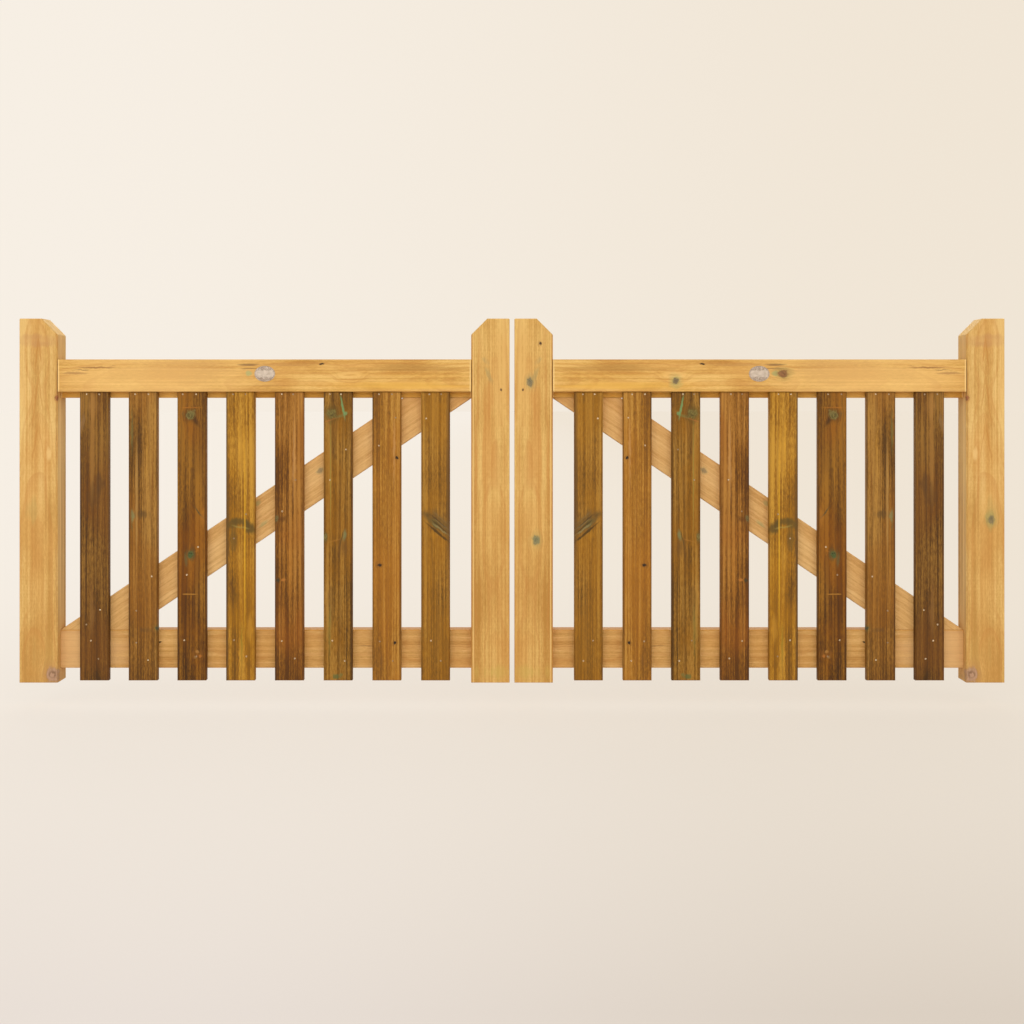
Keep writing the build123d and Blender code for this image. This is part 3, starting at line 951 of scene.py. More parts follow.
BRACE_MARKS = (
    Knot(14, 172, 10, 16, heart=ASH, rim=(120, 110, 76), halo=(168, 150, 96), strength=0.7),
    StainOrPaintedLight(33, -4, 14, 24, (140, 150, 96), 0.45),
    StainOrPaintedLight(-16, -19, 12, 30, (136, 150, 98), 0.45),
    # Painted shadow: a dark spot on the brace's upper edge where it meets the top rail, under the lip.
    StainOrPaintedLight(48, 354, 8, 16, (110, 84, 50), 0.7),
)

PALE_1_MARKS = (
    StainOrPaintedLight(-24, 645, 18, 60, (150, 114, 70), 0.5, turn=20),
    StainOrPaintedLight(-6, 590, 16, 240, (164, 116, 52), 0.6),
    StainOrPaintedLight(-10, 680, 40, 60, (168, 120, 58), 0.45),
    StainOrPaintedLight(20, 487, 30, 50, (86, 58, 28), 0.6),
    StainOrPaintedLight(-10, 455, 50, 60, (92, 64, 30), 0.35),
    StainOrPaintedLight(-6, 170, 16, 160, (150, 106, 54), 0.4),
)

PALE_2_MARKS = (
    Knot(34, 129, 7, 11, heart=(84, 84, 56), rim=(48, 44, 26), halo=MOSS, halo_share=0.5),
    StainOrPaintedLight(-25, 407, 9, 34, (126, 130, 84), 0.65, ragged=0.8),
    StainOrPaintedLight(-27, 380, 5, 24, (98, 92, 52), 0.5),
    StainOrPaintedLight(0, 412, 50, 20, (88, 64, 30), 0.6),
    StainOrPaintedLight(-15, 440, 6, 260, (182, 138, 72), 0.55, ragged=0.7, waver=3),
    StainOrPaintedLight(-26, 620, 7, 120, (122, 116, 64), 0.45),
    StainOrPaintedLight(24, 500, 4, 160, (116, 66, 16), 0.5, ragged=0.5, waver=3),
    StainOrPaintedLight(12, 580, 16, 220, (190, 136, 46), 0.5),
    StainOrPaintedLight(2, 126, 44, 12, (100, 70, 32), 0.45),
)

PALE_3_MARKS = (
    Knot(
        -3, 658, 23, 26, turn=30, heart=(126, 112, 60), rim=(76, 64, 30),
        halo=(72, 48, 20), halo_share=0.7, rings=1.2,
    ),
    StainOrPaintedLight(12, 640, 14, 34, (58, 36, 14), 0.75, turn=-24, ragged=0.7),
    StainOrPaintedLight(6, 668, 7, 7, (160, 150, 84), 0.6, ragged=0.4, soft=0.7),
    StainOrPaintedLight(-2, 676, 50, 3.5, (176, 110, 34), 0.6, ragged=0.3, soft=0.6, waver=4),
    StainOrPaintedLight(-22, 660, 14, 40, (104, 84, 46), 0.5),
    Knot(
        -2, 312, 15, 18, turn=20, heart=(92, 106, 58), rim=(38, 34, 16),
        halo=(92, 84, 44), halo_share=0.7, rings=1.0,
    ),
    StainOrPaintedLight(2, 318, 50, 46, (80, 52, 20), 0.6),
    StainOrPaintedLight(13, 321, 12, 7, (182, 114, 40), 0.65, turn=-20, ragged=1.0),
    StainOrPaintedLight(15, 312, 8, 6, (172, 104, 36), 0.6, ragged=1.0),
    StainOrPaintedLight(-13, 300, 13, 30, (104, 94, 54), 0.5),
    StainOrPaintedLight(-2, 214, 46, 3.4, (176, 122, 46), 0.7, ragged=0.4, soft=0.5, waver=2),
    StainOrPaintedLight(14, 71, 10, 7, (176, 128, 64), 0.7, ragged=0.4, soft=0.6),
    StainOrPaintedLight(20, 61, 8, 9, (182, 112, 44), 0.7, ragged=0.4, soft=0.6),
    StainOrPaintedLight(9, 58, 7, 6, (150, 118, 68), 0.6, ragged=0.4, soft=0.6),
    StainOrPaintedLight(16, 66, 34, 30, (140, 88, 34), 0.4),
    StainOrPaintedLight(17, 418, 5, 44, (64, 66, 44), 0.75, turn=-38, ragged=0.5, soft=0.6),
    StainOrPaintedLight(24, 405, 14, 60, (180, 116, 38), 0.5),
)

PALE_4_MARKS = (
    StainOrPaintedLight(-33, 360, 11, 900, (96, 68, 32), 0.7, ragged=0.5),
    StainOrPaintedLight(-22, 387, 36, 20, (94, 74, 30), 0.75, turn=-24, ragged=0.5),
    StainOrPaintedLight(0, 394, 42, 16, (94, 74, 30), 0.75, turn=6, ragged=0.5),
    StainOrPaintedLight(23, 379, 44, 22, (88, 70, 30), 0.85, turn=38, ragged=0.5),
    StainOrPaintedLight(2, 380, 36, 5, (158, 138, 66), 0.5, turn=8, ragged=0.5),
    StainOrPaintedLight(-20, 350, 22, 50, (104, 82, 36), 0.5),
    StainOrPaintedLight(4, 90, 12, 190, (136, 124, 38), 0.6),
    StainOrPaintedLight(11, 330, 4, 520, SUN, 0.6, ragged=0.7, waver=3),
    StainOrPaintedLight(4, 580, 18, 240, (210, 154, 50), 0.55),
    StainOrPaintedLight(26, 130, 16, 60, (196, 140, 44), 0.5),
)

PALE_5_MARKS = (
    Knot(-31, 400, 9, 14, heart=(112, 104, 62), rim=(72, 58, 30), halo=(104, 66, 28), strength=0.8),
    Knot(-28, 248, 8, 9, heart=(76, 66, 42), rim=(40, 30, 18), halo=(96, 60, 26)),
    StainOrPaintedLight(-18, 400, 18, 16, (88, 50, 16), 0.65, turn=-24, ragged=0.8),
    StainOrPaintedLight(-16, 249, 10, 8, (186, 118, 50), 0.65, ragged=0.4),
    StainOrPaintedLight(-22, 200, 16, 110, (92, 54, 18), 0.55),
    StainOrPaintedLight(12, 570, 12, 260, (198, 146, 84), 0.55),
    StainOrPaintedLight(4, 300, 14, 200, (176, 112, 32), 0.4),
    StainOrPaintedLight(-33, 500, 5, 90, (74, 42, 18), 0.6),
)

PALE_6_MARKS = (
    Knot(
        -16, 661, 24, 24, turn=-30, heart=(124, 110, 54), rim=(70, 54, 22),
        halo=(96, 74, 28), halo_share=0.65, rings=1.2,
    ),
    StainOrPaintedLight(12, 677, 5.5, 52, (112, 148, 92), 0.85, turn=-10, ragged=0.5, waver=7),
    StainOrPaintedLight(19, 662, 9, 8, (116, 152, 94), 0.7, turn=-20, ragged=0.5, waver=7),
    StainOrPaintedLight(-14, 647, 36, 4, (184, 112, 48), 0.75, turn=-20, ragged=0.4, soft=0.7, waver=5),
    StainOrPaintedLight(4, 655, 26, 8, (116, 122, 66), 0.45, turn=-12, ragged=0.7),
    Knot(-31, 355, 12, 17, heart=(132, 118, 66), rim=(74, 62, 30), halo=(104, 86, 38), strength=0.85),
    StainOrPaintedLight(17, 360, 10, 34, (118, 122, 78), 0.8, turn=10, ragged=0.6),
    StainOrPaintedLight(10, 354, 3.5, 46, (72, 62, 28), 0.75, turn=12, ragged=0.5, waver=4),
    StainOrPaintedLight(-8, 346, 34, 3.5, (176, 120, 48), 0.35, turn=-16, ragged=0.5, waver=5),
    StainOrPaintedLight(17, 330, 30, 64, (98, 66, 28), 0.6, ragged=0.8),
    StainOrPaintedLight(-18, 500, 3, 300, (138, 132, 56), 0.5, ragged=0.5, waver=2),
    StainOrPaintedLight(-22, 130, 18, 260, (138, 128, 60), 0.5),
    StainOrPaintedLight(-3, 10, 26, 13, (84, 98, 52), 0.75, ragged=0.9),
    StainOrPaintedLight(8, 16, 12, 8, (96, 108, 58), 0.5, ragged=0.9),
)

PALE_7_MARKS = (
    Knot(25, 552, 8, 9, heart=SOOT, rim=COAL, halo=(112, 72, 34), halo_share=0.3),
    Knot(-18, 287, 12, 8, heart=SOOT, rim=COAL, halo=(112, 72, 34), halo_share=0.3),
    Knot(20, 93, 9, 9, heart=SOOT, rim=COAL, halo=(112, 72, 34), halo_share=0.3),
    StainOrPaintedLight(19, 580, 10, 240, (204, 152, 90), 0.5),
    StainOrPaintedLight(-12, 50, 8, 60, (120, 80, 36), 0.5),
)

PALE_8_MARKS = (
    StainOrPaintedLight(-12, 362, 30, 44, (180, 124, 30), 0.55),
    StainOrPaintedLight(6, 392, 104, 44, (100, 76, 38), 0.72, turn=40, ragged=0.7),
    StainOrPaintedLight(-22, 410, 34, 26, (84, 66, 34), 0.7, turn=30, ragged=0.8),
    StainOrPaintedLight(-6, 392, 40, 16, (98, 88, 46), 0.6, turn=38, ragged=0.7),
    StainOrPaintedLight(4, 368, 92, 6, (62, 46, 20), 0.8, turn=40, ragged=0.5, soft=0.9, waver=8),
    StainOrPaintedLight(14, 374, 56, 4.5, (136, 122, 76), 0.75, turn=37, ragged=0.6, soft=0.9, waver=8),
    StainOrPaintedLight(12, 381, 64, 4, (70, 54, 26), 0.7, turn=38, ragged=0.6, soft=0.9, waver=8),
    StainOrPaintedLight(18, 385, 46, 3.5, (146, 124, 80), 0.6, turn=36, ragged=0.6, soft=0.9, waver=8),
    StainOrPaintedLight(6, 396, 72, 4, (72, 54, 26), 0.65, turn=40, ragged=0.6, soft=0.9, waver=9),
    StainOrPaintedLight(13, 403, 60, 4, (126, 98, 56), 0.5, turn=40, ragged=0.7, soft=0.9, waver=9),
    StainOrPaintedLight(31, 400, 9, 800, (104, 76, 40), 0.45, ragged=0.8),
    StainOrPaintedLight(12, 130, 30, 240, (112, 80, 36), 0.25),
)

BOARDS = (
    Board(
        "hinge_stile", Grain.UPRIGHT, HINGE_STILE, 3.1, (-6.0, 34.0), lean=(0.004, 0.03), run=0.55,
        slant=-0.2, marks=HINGE_STILE_MARKS, right_marks=HINGE_STILE_RIGHT_MARKS,
    ),
    Board(
        "meeting_stile", Grain.UPRIGHT, MEETING_STILE, 5.7, (14.0, 30.0), lean=(-0.006, 0.02), run=0.4,
        slant=0.3, marks=MEETING_STILE_MARKS, right_marks=MEETING_STILE_RIGHT_MARKS,
    ),
    Board(
        "top_rail", Grain.LEVEL, TOP_RAIL, 8.2, (-20.0, -34.0), lean=(0.01, 0.03), slant=0.14,
        marks=TOP_RAIL_MARKS, right_marks=TOP_RAIL_RIGHT_MARKS,
    ),
    Board("bottom_rail", Grain.LEVEL, BOTTOM_RAIL, 11.4, (10.0, -60.0), run=-0.12, marks=BOTTOM_RAIL_MARKS),
    Board("brace", Grain.RISING, BRACE_BOARD, 14.9, (-10.0, -50.0), lean=(0.0, 0.02), marks=BRACE_MARKS),
    Board(
        "pale_1", Grain.UPRIGHT, UMBER, 17.3, (-60.0, 60.0), lean=(0.01, 0.0), run=0.8, marks=PALE_1_MARKS,
    ),
    Board(
        "pale_2", Grain.UPRIGHT, CHESTNUT, 21.6, (50.0, 40.0), lean=(-0.02, 0.0), run=0.2, slant=0.4,
        marks=PALE_2_MARKS,
    ),
    Board(
        "pale_3", Grain.UPRIGHT, WALNUT, 25.1, (10.0, 30.0), lean=(0.008, 0.01), run=0.6, marks=PALE_3_MARKS,
    ),
    Board(
        "pale_4", Grain.UPRIGHT, GOLDEN, 29.8, (-30.0, 30.0), lean=(0.0, 0.01), run=0.5, slant=0.35,
        marks=PALE_4_MARKS,
    ),
    Board(
        "pale_5", Grain.UPRIGHT, RUSSET, 33.2, (70.0, 30.0), lean=(-0.01, 0.0), run=0.45, slant=0.4,
        marks=PALE_5_MARKS,
    ),
    Board(
        "pale_6", Grain.UPRIGHT, OLIVE, 37.7, (-20.0, 40.0), lean=(0.012, 0.0), slant=-0.25,
        marks=PALE_6_MARKS,
    ),
    Board(
        "pale_7", Grain.UPRIGHT, AMBER, 41.3, (-70.0, 50.0), lean=(0.005, 0.0), slant=0.35,
        marks=PALE_7_MARKS,
    ),
    Board(
        "pale_8", Grain.UPRIGHT, TAWNY, 45.9, (30.0, 60.0), lean=(-0.008, 0.0), run=0.3, slant=-0.25,
        marks=PALE_8_MARKS,
    ),
)
WEDGES = Board("tenon_wedges", Grain.LEVEL, TOP_RAIL, 51.0, (30.0, 30.0))

NAIL_PLACES = {
    1: ((-18, 709), (13, 709), (15, 175), (-19, 139), (-8, 99), (11, 54)),
    2: ((-19, 709), (14, 709), (22, 258), (-16, 173), (-16, 94), (13, 51)),
    3: ((-22, 709), (11, 709), (16, 331), (-12, 262), (-18, 100), (12, 60)),
    4: ((-18, 709), (13, 709), (14, 412), (-16, 352), (-16, 100), (15, 60)),
    5: ((-18, 709), (10, 709), (16, 497), (-17, 419), (-18, 98), (14, 55)),
    6: ((-20, 709), (8, 709), (20, 572), (-20, 497), (-14, 99), (17, 49)),
    7: ((-19, 709), (13, 709), (22, 651), (-19, 582), (-17, 97), (15, 49)),
    8: ((-15, 709), (14, 709), (-23, 649), (-11, 99), (13, 49)),
}


def fastener_group(name: str, sizes: dict[str, float]) -> Group:
    """An empty geometry group for one kind of fastener.

    Args:
        name: The group's name.
        sizes: Its named sizes in metres.

    Returns:
        The group, with inputs for the places, the facing, the seed and the material.
    """
    inputs = {"Geometry": ("NodeSocketGeometry", None)}
    inputs |= {label: (NUMBER, size) for label, size in sizes.items()}
    inputs |= {
        "Quarter turns": (NUMBER, OUTWARDS),
        "Seed": ("NodeSocketInt", 0),
        "Material": ("NodeSocketMaterial", None),
    }
    return Group(name, "GeometryNodeTree", inputs, {"Geometry": "NodeSocketGeometry"})


def place_all(tree: Group, head: Socket) -> bpy.types.NodeTree:
    """Ends a fastener's tree: turns the head to its side, sets one on each point, each a little different.

    Args:
        tree: The group so far.
        head: One head, standing up from its foot.

    Returns:
        The finished group.
    """
    given = tree.given
    tilt = tree.times(given["Quarter turns"], -math.pi / 2)
    head = tree.moved(head, Rotation=tree.join(tilt))
    spin = {2: 0.0, 3: math.tau, "Seed": given["Seed"]}
    spin = tree.add("FunctionNodeRandomValue", spin, data_type="FLOAT").outputs[1]
    turn = tree.join(depth=spin)
    least = tree.minus(1.0, given["Size spread"])
    most = tree.plus(1.0, given["Size spread"])
    size = {2: least, 3: most, "Seed": tree.plus(given["Seed"], 1.0)}
    size = tree.add("FunctionNodeRandomValue", size, data_type="FLOAT").outputs[1]
    sockets = {"Points": given["Geometry"], "Instance": head, "Rotation": turn, "Scale": size}
    placed = tree.add("GeometryNodeInstanceOnPoints", sockets).outputs[0]
    placed = tree.add("GeometryNodeRealizeInstances", {"Geometry": placed}).outputs[0]
    sockets = {"Geometry": placed, "Material": given["Material"]}
    return tree.close(Geometry=tree.add("GeometryNodeSetMaterial", sockets).outputs[0])


def nail_group() -> bpy.types.NodeTree:
    """The group for a flat wire-nail head with a bevelled edge and a dished face."""
    sizes = {
        "Head radius": 2.4 * MM,
        "Face radius": 1.9 * MM,
        "Head rise": 0.9 * MM,
        "Dish": 0.25 * MM,
        "Size spread": 0.07,
    }
    tree = fastener_group("nail_heads", sizes)
    given = tree.given
    sockets = {
        "Vertices": 16,
        "Fill Segments": 3,
        "Radius Top": given["Face radius"],
        "Radius Bottom": given["Head radius"],
        "Depth": given["Head rise"],
    }
    head = tree.add("GeometryNodeMeshCone", sockets, fill_type="TRIANGLE_FAN").outputs["Mesh"]
    across, depth, up = tree.parts(tree.add("GeometryNodeInputPosition").outputs[0])
    flat = tree.join(across, depth)
    share = tree.math("DIVIDE", tree.vector("LENGTH", flat), given["Face radius"], clamp=True)
    dish = tree.minus(tree.times(share, share), 1.0)
    dish = tree.times(dish, given["Dish"])
    top = tree.math("GREATER_THAN", up, tree.times(given["Head rise"], 0.9))
    sockets = {"Geometry": head, "Selection": top, "Offset": tree.join(up=dish)}
    return place_all(tree, tree.add("GeometryNodeSetPosition", sockets).outputs[0])


def coach_screw_group() -> bpy.types.NodeTree:
    """The group for a hexagon-headed coach screw on its washer."""
    sizes = {
        "Half across corners": 9.8 * MM,
        "Head height": 6.0 * MM,
        "Chamfer radius": 20.1 * MM,
        "Chamfer height": 11.6 * MM,
        "Chamfer sink": 1.0 * MM,
        "Washer radius": 12.0 * MM,
        "Washer thickness": 2.0 * MM,
        "Washer bevel": 0.4 * MM,
        "Size spread": 0.0,
    }
    tree = fastener_group("coach_screws", sizes)
    given = tree.given
    sockets = {"Vertices": 6, "Radius": given["Half across corners"], "Depth": given["Head height"]}
    hexagon = tree.add("GeometryNodeMeshCylinder", sockets).outputs["Mesh"]
    middle = tree.times(given["Head height"], 0.5)
    hexagon = tree.moved(hexagon, Translation=tree.join(up=middle))
    sockets = {"Vertices": 48, "Radius Bottom": given["Chamfer radius"], "Depth": given["Chamfer height"]}
    chamfer = tree.add("GeometryNodeMeshCone", sockets).outputs["Mesh"]
    sink = tree.times(given["Chamfer sink"], -1.0)
    chamfer = tree.moved(chamfer, Translation=tree.join(up=sink))
    common = tree.add("GeometryNodeMeshBoolean", {1: hexagon}, operation="INTERSECT", solver="EXACT")
    tree.nodes.links.new(chamfer, common.inputs[1])
    head = tree.moved(common.outputs["Mesh"], Translation=tree.join(up=given["Washer thickness"]))
    sockets = {
        "Vertices": 32,
        "Radius Top": tree.minus(given["Washer radius"], given["Washer bevel"]),
        "Radius Bottom": given["Washer radius"],
        "Depth": given["Washer thickness"],
    }
    washer = tree.add("GeometryNodeMeshCone", sockets).outputs["Mesh"]
    joined = tree.add("GeometryNodeJoinGeometry", {0: head})
    tree.nodes.links.new(washer, joined.inputs[0])
    return place_all(tree, joined.outputs[0])


def band_screw_group() -> bpy.types.NodeTree:
    """The group for a round-headed screw with a cross recess."""
    sizes = {
        "Head radius": 5.2 * MM,
        "Head rise": 3.2 * MM,
        "Recess length": 5.4 * MM,
        "Recess width": 1.1 * MM,
        "Recess depth": 1.6 * MM,
        "Size spread": 0.0,
    }
    tree = fastener_group("band_screws", sizes)
    given = tree.given
    dome = tree.add("GeometryNodeMeshUVSphere", {"Segments": 24, "Rings": 14, "Radius": 1.0}).outputs["Mesh"]
    dome = tree.moved(dome, Scale=tree.join(given["Head radius"], given["Head radius"], given["Head rise"]))
    depth = tree.times(given["Recess depth"], 2.0)
    lift = tree.join(up=given["Head rise"])
    cut = tree.add("GeometryNodeMeshBoolean", {0: dome}, operation="DIFFERENCE", solver="EXACT")
    for across, along in (("Recess length", "Recess width"), ("Recess width", "Recess length")):
        size = tree.join(given[across], given[along], depth)
        arm = tree.add("GeometryNodeMeshCube", {"Size": size}).outputs["Mesh"]
        tree.nodes.links.new(tree.moved(arm, Translation=lift), cut.inputs[1])
    return place_all(tree, cut.outputs["Mesh"])


@dataclass
class Fasteners:
    """One kind of fastener on one leaf, set at a list of places."""

    name: str
    group: bpy.types.NodeTree
    material: bpy.types.Material
    slot: str
    facing: float
    seed: int

    def build(self, hand: Hand, places: list[Point]) -> bpy.types.Object:
        """Sets the fasteners on their places as one plain mesh.

        Args:
            hand: The leaf that they ride on.
            places: Where each one's foot stands, on the left leaf, in metres.

        Returns:
            The finished piece.
        """
        name = hand.node(self.name)
        points = bpy.data.meshes.new(f"{name}_places")
        points.from_pydata([hand.place(place) for place in places], [], [])
        carrier = bpy.data.objects.new(f"{name}_places", points)
        bpy.context.scene.collection.objects.link(carrier)
        modifier = carrier.modifiers.new("heads", "NODES")
        modifier.node_group = self.group
        inputs = {"Quarter turns": self.facing, "Seed": self.seed, "Material": self.material}
        for item in self.group.interface.items_tree:
            if item.name in inputs:
                modifier[item.identifier] = inputs[item.name]
        graph = bpy.context.evaluated_depsgraph_get()
        mesh = bpy.data.meshes.new_from_object(carrier.evaluated_get(graph))
        bpy.data.objects.remove(carrier)
        mesh.name = name
        mesh.materials.clear()
        mesh.materials.append(self.material)
        return mount(name, mesh, hand)


def mount(name: str, mesh: bpy.types.Mesh, hand: Hand) -> bpy.types.Object:
    """Makes a piece from a mesh that is already in place.

    Args:
        name: The piece's name.
        mesh: Its mesh, in the frame's own metres.
        hand: The leaf that it rides on.

    Returns:
        The piece, riding on its leaf.
    """
    piece = bpy.data.objects.new(name, mesh)
    bpy.context.scene.collection.objects.link(piece)
    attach(piece, hand.body)
    LOG.info("%s: %d faces", name, len(mesh.polygons))
    return piece


@dataclass
class OvalPlate:
    """The blank oval plate on the top rail's face: a low dome inside a raised rim."""

    metal: PlateMetal
    half_width: float = 25.5 * MM
    half_height: float = 19.5 * MM
    thickness: float = 0.6 * MM
    rim_rise: float = 0.3 * MM
    along: float = 512.0 * MM
    above_middle: float = 12.0 * MM
    steps: int = 72

    def profile(self) -> list[tuple[float, float]]:
        """The share of the half widths and the rise of each ring, from the edge inwards."""
        rim = self.thickness + self.rim_rise
        return [
            (1.0, 0.0),
            (1.0, self.thickness),
            (0.985, rim),
            (0.93, rim),
            (0.91, self.thickness * 0.7),
            (0.6, self.thickness * 0.9),
            (0.3, self.thickness),
        ]

    def build(self, hand: Hand) -> bpy.types.Object:
        """Makes the plate on one leaf."""
        rail_low, rail_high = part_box("left_top_rail")
        middle = (
            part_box("left_hinge_stile")[1].x + self.along,
            rail_low.y,
            (rail_low.z + rail_high.z) / 2 + self.above_middle,
        )
        x, y, z = hand.place(middle)
        turns = [math.tau * step / self.steps for step in range(self.steps)]
        points = []
        for share, rise in self.profile():
            for turn in turns:
                across = self.half_width * share * math.cos(turn)
                up = self.half_height * share * math.sin(turn)
                points.append((x + across, y + OUTWARDS * rise, z + up))
        faces = []
        rings = len(self.profile())
        for ring in range(rings - 1):
            for step in range(self.steps):
                here, after = ring * self.steps + step, ring * self.steps + (step + 1) % self.steps
                faces.append((here, after, after + self.steps, here + self.steps))
        last = (rings - 1) * self.steps
        faces.append(tuple(range(last, last + self.steps)))
        faces.append(tuple(reversed(range(self.steps))))
        mesh = bpy.data.meshes.new(hand.node("oval_plate"))
        mesh.from_pydata(points, [], faces)
        metal = self.metal.dress(hand.node("plate_metal"), (x, y, z), self.half_width, self.half_height)
        mesh.materials.append(metal)
        return mount(hand.node("oval_plate"), mesh, hand)


@dataclass
class HingeScrews:
    """The fasteners that hold both bands of a leaf, on the bands' outer faces."""

    coach_screws: Fasteners
    band_screws: Fasteners
    square_holes: tuple[float, ...] = (40.0 * MM, 125.0 * MM)
    round_holes: tuple[float, ...] = (240.0 * MM, 350.0 * MM)
    band_thickness: float = 5.0 * MM

    def places(self, holes: tuple[float, ...]) -> list[Point]:
        """The places of these holes on both bands, on the left leaf."""
        pin = Vector(next(j for j in frame["joints"] if j["child"] == Hand.LEFT.body)["pos_m"])
        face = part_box("left_hinge_stile")[1].y + self.band_thickness
        found = []
        for band in ("left_lower_band", "left_upper_band"):
            low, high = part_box(band)
            found += [(pin.x + hole, face, (low.z + high.z) / 2) for hole in holes]
        return found

    def build(self, hand: Hand) -> None:
        """Sets both kinds on one leaf."""
        self.coach_screws.build(hand, self.places(self.square_holes))
        self.band_screws.build(hand, self.places(self.round_holes))


@dataclass
class Leaf:
    """One leaf of the gate, dressed and nailed."""

    hand: Hand
    boards: tuple[Board, ...] = BOARDS
    wedges: Board = WEDGES

    def dress(self, groups: dict[str, bpy.types.NodeTree], steel: bpy.types.Material) -> None:
        """Gives every board and fitting of this leaf its finish.

        Args:
            groups: The shared node groups by name.
            steel: The finish of the bands and hooks.
        """
        nodes = frame["nodes"]
        for board in self.boards:
            paint(nodes[self.hand.node(board.piece)], board.dress(self.hand, groups))
        for piece in ("upper_band", "lower_band", "upper_hook", "lower_hook"):
            paint(nodes[self.hand.node(piece)], steel)
        paint(nodes[self.hand.node(self.wedges.piece)], self.wedges.dress(self.hand, groups))
        LOG.info("%s leaf: %d boards dressed", self.hand.value, len(self.boards))

    def nail(self, nails: Fasteners) -> None:
        """Drives the nails of every pale, their heads a little above its face."""
        places = []
        for number, spots in NAIL_PLACES.items():
            low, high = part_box(f"left_pale_{number}")
            middle = (low.x + high.x) / 2
            for across, up in spots:
                places.append((middle + across * MM, low.y + NAIL_PROUD, low.z + up * MM))
        nails.build(self.hand, places)


def paint(node: bpy.types.Object, material: bpy.types.Material) -> None:
    """Puts one finish on every material slot of a frame node."""
    if not node.material_slots:
        node.data.materials.append(material)
    for slot in node.material_slots:
        slot.material = material


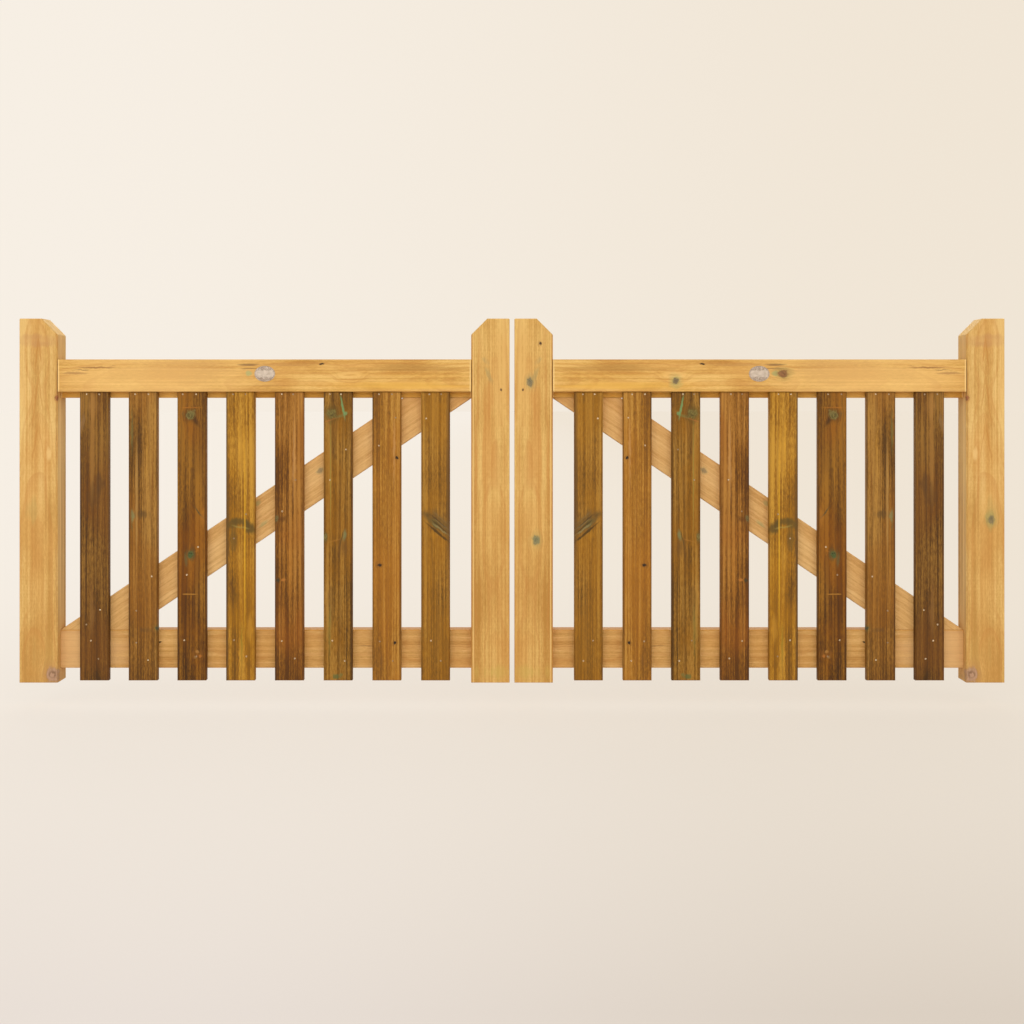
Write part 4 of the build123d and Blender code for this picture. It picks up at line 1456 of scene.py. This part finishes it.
@dataclass
class Studio:
    """The pale floor, the backdrop's colour, the soft lights and the camera.

    The air and the floor turn from their left to their right tones over the spans named turn. The floor has
    its near tone before the gate, and fades back to the air's behind it and behind the camera. The darker
    right
    and near tones are painted shade: light falling off towards the right and towards the camera.
    """

    floor_level: float = -0.12
    floor_reach: float = 150.0
    air: Colour = tone(247, 239, 228)
    # Painted shade: the air's right tone is darker, for light falling off towards the right.
    air_right: Colour = tone(240, 229, 213)
    # Painted shade: the floor's near and right tones are darker, for light falling off towards the camera and
    # the right.
    ground: Colour = tone(234, 224, 215)
    ground_right: Colour = tone(220, 208, 194)
    ambient: float = 0.57
    glow: float = 1.0
    glow_share: float = 0.8
    key: float = 1.62
    softness: float = 60.0
    suns: tuple[tuple[str, Point, float], ...] = (
        ("left_key", (0.62, 1.0, -0.5), 0.59),
        ("right_key", (-0.62, 1.0, -0.5), 0.59),
        ("fill", (0.0, -1.0, -0.6), 0.7),
    )
    camera_distance: float = 3.7
    eye_height: float = 0.631
    view_width: float = 2.531
    horizon_row: float = 404.2
    picture: float = 1024.0
    near_floor: float = 1.85
    nearest: float = 1.0
    floor_falloff: float = 2.2
    air_turn: tuple[float, float] = (-0.35, 0.35)
    far_turn: tuple[float, float] = (-1.6, 4.0)
    near_turn: tuple[float, float] = (0.7, 1.9)
    floor_fade: tuple[float, float] = (-6.0, -2.0)

    def build(self) -> None:
        """Makes everything that isn't part of the gate."""
        self.build_world()
        self.build_floor()
        self.build_lights()
        self.build_camera()

    @staticmethod
    def seen(tree: Tree) -> Socket:
        """1 for rays that show the backdrop itself, straight, mirrored or through glass."""
        path = tree.add("ShaderNodeLightPath").outputs
        shown = tree.math("MAXIMUM", path["Is Camera Ray"], path["Is Glossy Ray"])
        return tree.math("MAXIMUM", shown, path["Is Transmission Ray"])

    def build_world(self) -> None:
        """Even white light all round, behind which a warm pale air shows."""
        world = bpy.data.worlds.new("studio")
        bpy.context.scene.world = world
        world.use_nodes = True
        tree = Tree(world.node_tree)
        across = tree.parts(tree.add("ShaderNodeTexCoord").outputs["Generated"])[0]
        air = tree.mix(tree.ramp(across, *self.air_turn), self.air, self.air_right)
        light = tree.add("ShaderNodeBackground", {"Color": (1, 1, 1, 1), "Strength": self.ambient})
        shown = tree.add("ShaderNodeBackground", {"Color": air, "Strength": 1.0})
        sockets = {0: self.seen(tree), 1: light.outputs[0], 2: shown.outputs[0]}
        both = tree.add("ShaderNodeMixShader", sockets)
        tree.add("ShaderNodeOutputWorld", {"Surface": both.outputs[0]})

    def build_floor(self) -> None:
        """A wide floor in the backdrop's tone that keeps a soft shadow."""
        reach, level = self.floor_reach, self.floor_level
        corners = [(-reach, -reach), (reach, -reach), (reach, reach), (-reach, reach)]
        mesh = bpy.data.meshes.new("floor")
        mesh.from_pydata([(x, y, level) for x, y in corners], [], [(0, 1, 2, 3)])
        floor = bpy.data.objects.new("floor", mesh)
        bpy.context.scene.collection.objects.link(floor)
        material, tree = Finish.start("floor")
        across, depth, _ = tree.parts(tree.add("ShaderNodeTexCoord").outputs["Object"])
        far = tree.mix(tree.ramp(across, *self.far_turn), self.air, self.air_right)
        near = tree.mix(tree.ramp(across, *self.near_turn), self.ground, self.ground_right)
        before = tree.minus(depth, cad_bounds[0].y - self.camera_distance)
        before = tree.math("MAXIMUM", before, self.nearest)
        near_share = tree.math("DIVIDE", self.near_floor, before)
        share = tree.math("POWER", near_share, self.floor_falloff, clamp=True)
        share = tree.times(share, tree.ramp(depth, *self.floor_fade))
        colour = tree.mix(share, far, near)
        soft = tree.add("ShaderNodeBsdfDiffuse", {"Color": colour})
        glow = tree.add("ShaderNodeEmission", {"Color": colour, "Strength": self.glow})
        share = tree.times(self.seen(tree), self.glow_share)
        both = tree.add("ShaderNodeMixShader", {0: share, 1: soft.outputs[0], 2: glow.outputs[0]})
        tree.add("ShaderNodeOutputMaterial", {"Surface": both.outputs[0]})
        mesh.materials.append(material)

    def build_lights(self) -> None:
        """Two broad soft lights before the gate and one behind it, each even all over the floor."""
        for name, toward, share in self.suns:
            lamp = bpy.data.lights.new(name, "SUN")
            lamp.angle = math.radians(self.softness)
            lamp.energy = self.key * share
            light = bpy.data.objects.new(name, lamp)
            light.rotation_euler = Vector(toward).to_track_quat("-Z", "Y").to_euler()
            bpy.context.scene.collection.objects.link(light)

    def build_camera(self) -> None:
        """The camera, square to the gate's front, level with the upper part of the leaves."""
        lens = bpy.data.cameras.new("camera")
        lens.sensor_width = 36.0
        lens.lens = lens.sensor_width * self.camera_distance / self.view_width
        lens.shift_y = (self.horizon_row - self.picture / 2) / self.picture
        lens.clip_end = 400.0
        camera = bpy.data.objects.new("camera", lens)
        front = cad_bounds[0].y
        camera.location = (opening_width() / 2, front - self.camera_distance, self.eye_height)
        camera.rotation_euler = (math.pi / 2, 0.0, 0.0)
        bpy.context.scene.collection.objects.link(camera)
        bpy.context.scene.camera = camera
        bpy.context.scene.view_settings.view_transform = "Standard"


def main() -> None:
    """Builds the studio, dresses both leaves and fits what scene.py adds to them."""
    logging.basicConfig(level=logging.INFO, format="%(name)s: %(message)s")
    Studio().build()
    groups = {
        "knot_field": knot_field_group(),
        "knot_paint": knot_paint_group(),
        "stain": stain_or_light_group(),
        "timber": timber_group(),
    }
    steel = Galvanised().dress()
    nails = Fasteners("nails", nail_group(), Zinc().dress(), "hinge_steel", OUTWARDS, seed=4)
    coach = Fasteners("coach_screws", coach_screw_group(), steel, "hinge_steel", INTO_BOARD, seed=7)
    small = Fasteners("band_screws", band_screw_group(), steel, "hinge_steel", INTO_BOARD, seed=9)
    screws = HingeScrews(coach, small)
    plate = OvalPlate(PlateMetal())
    for hand in Hand:
        leaf = Leaf(hand)
        leaf.dress(groups, steel)
        leaf.nail(nails)
        screws.build(hand)
        plate.build(hand)


if __name__ == "__main__":
    main()
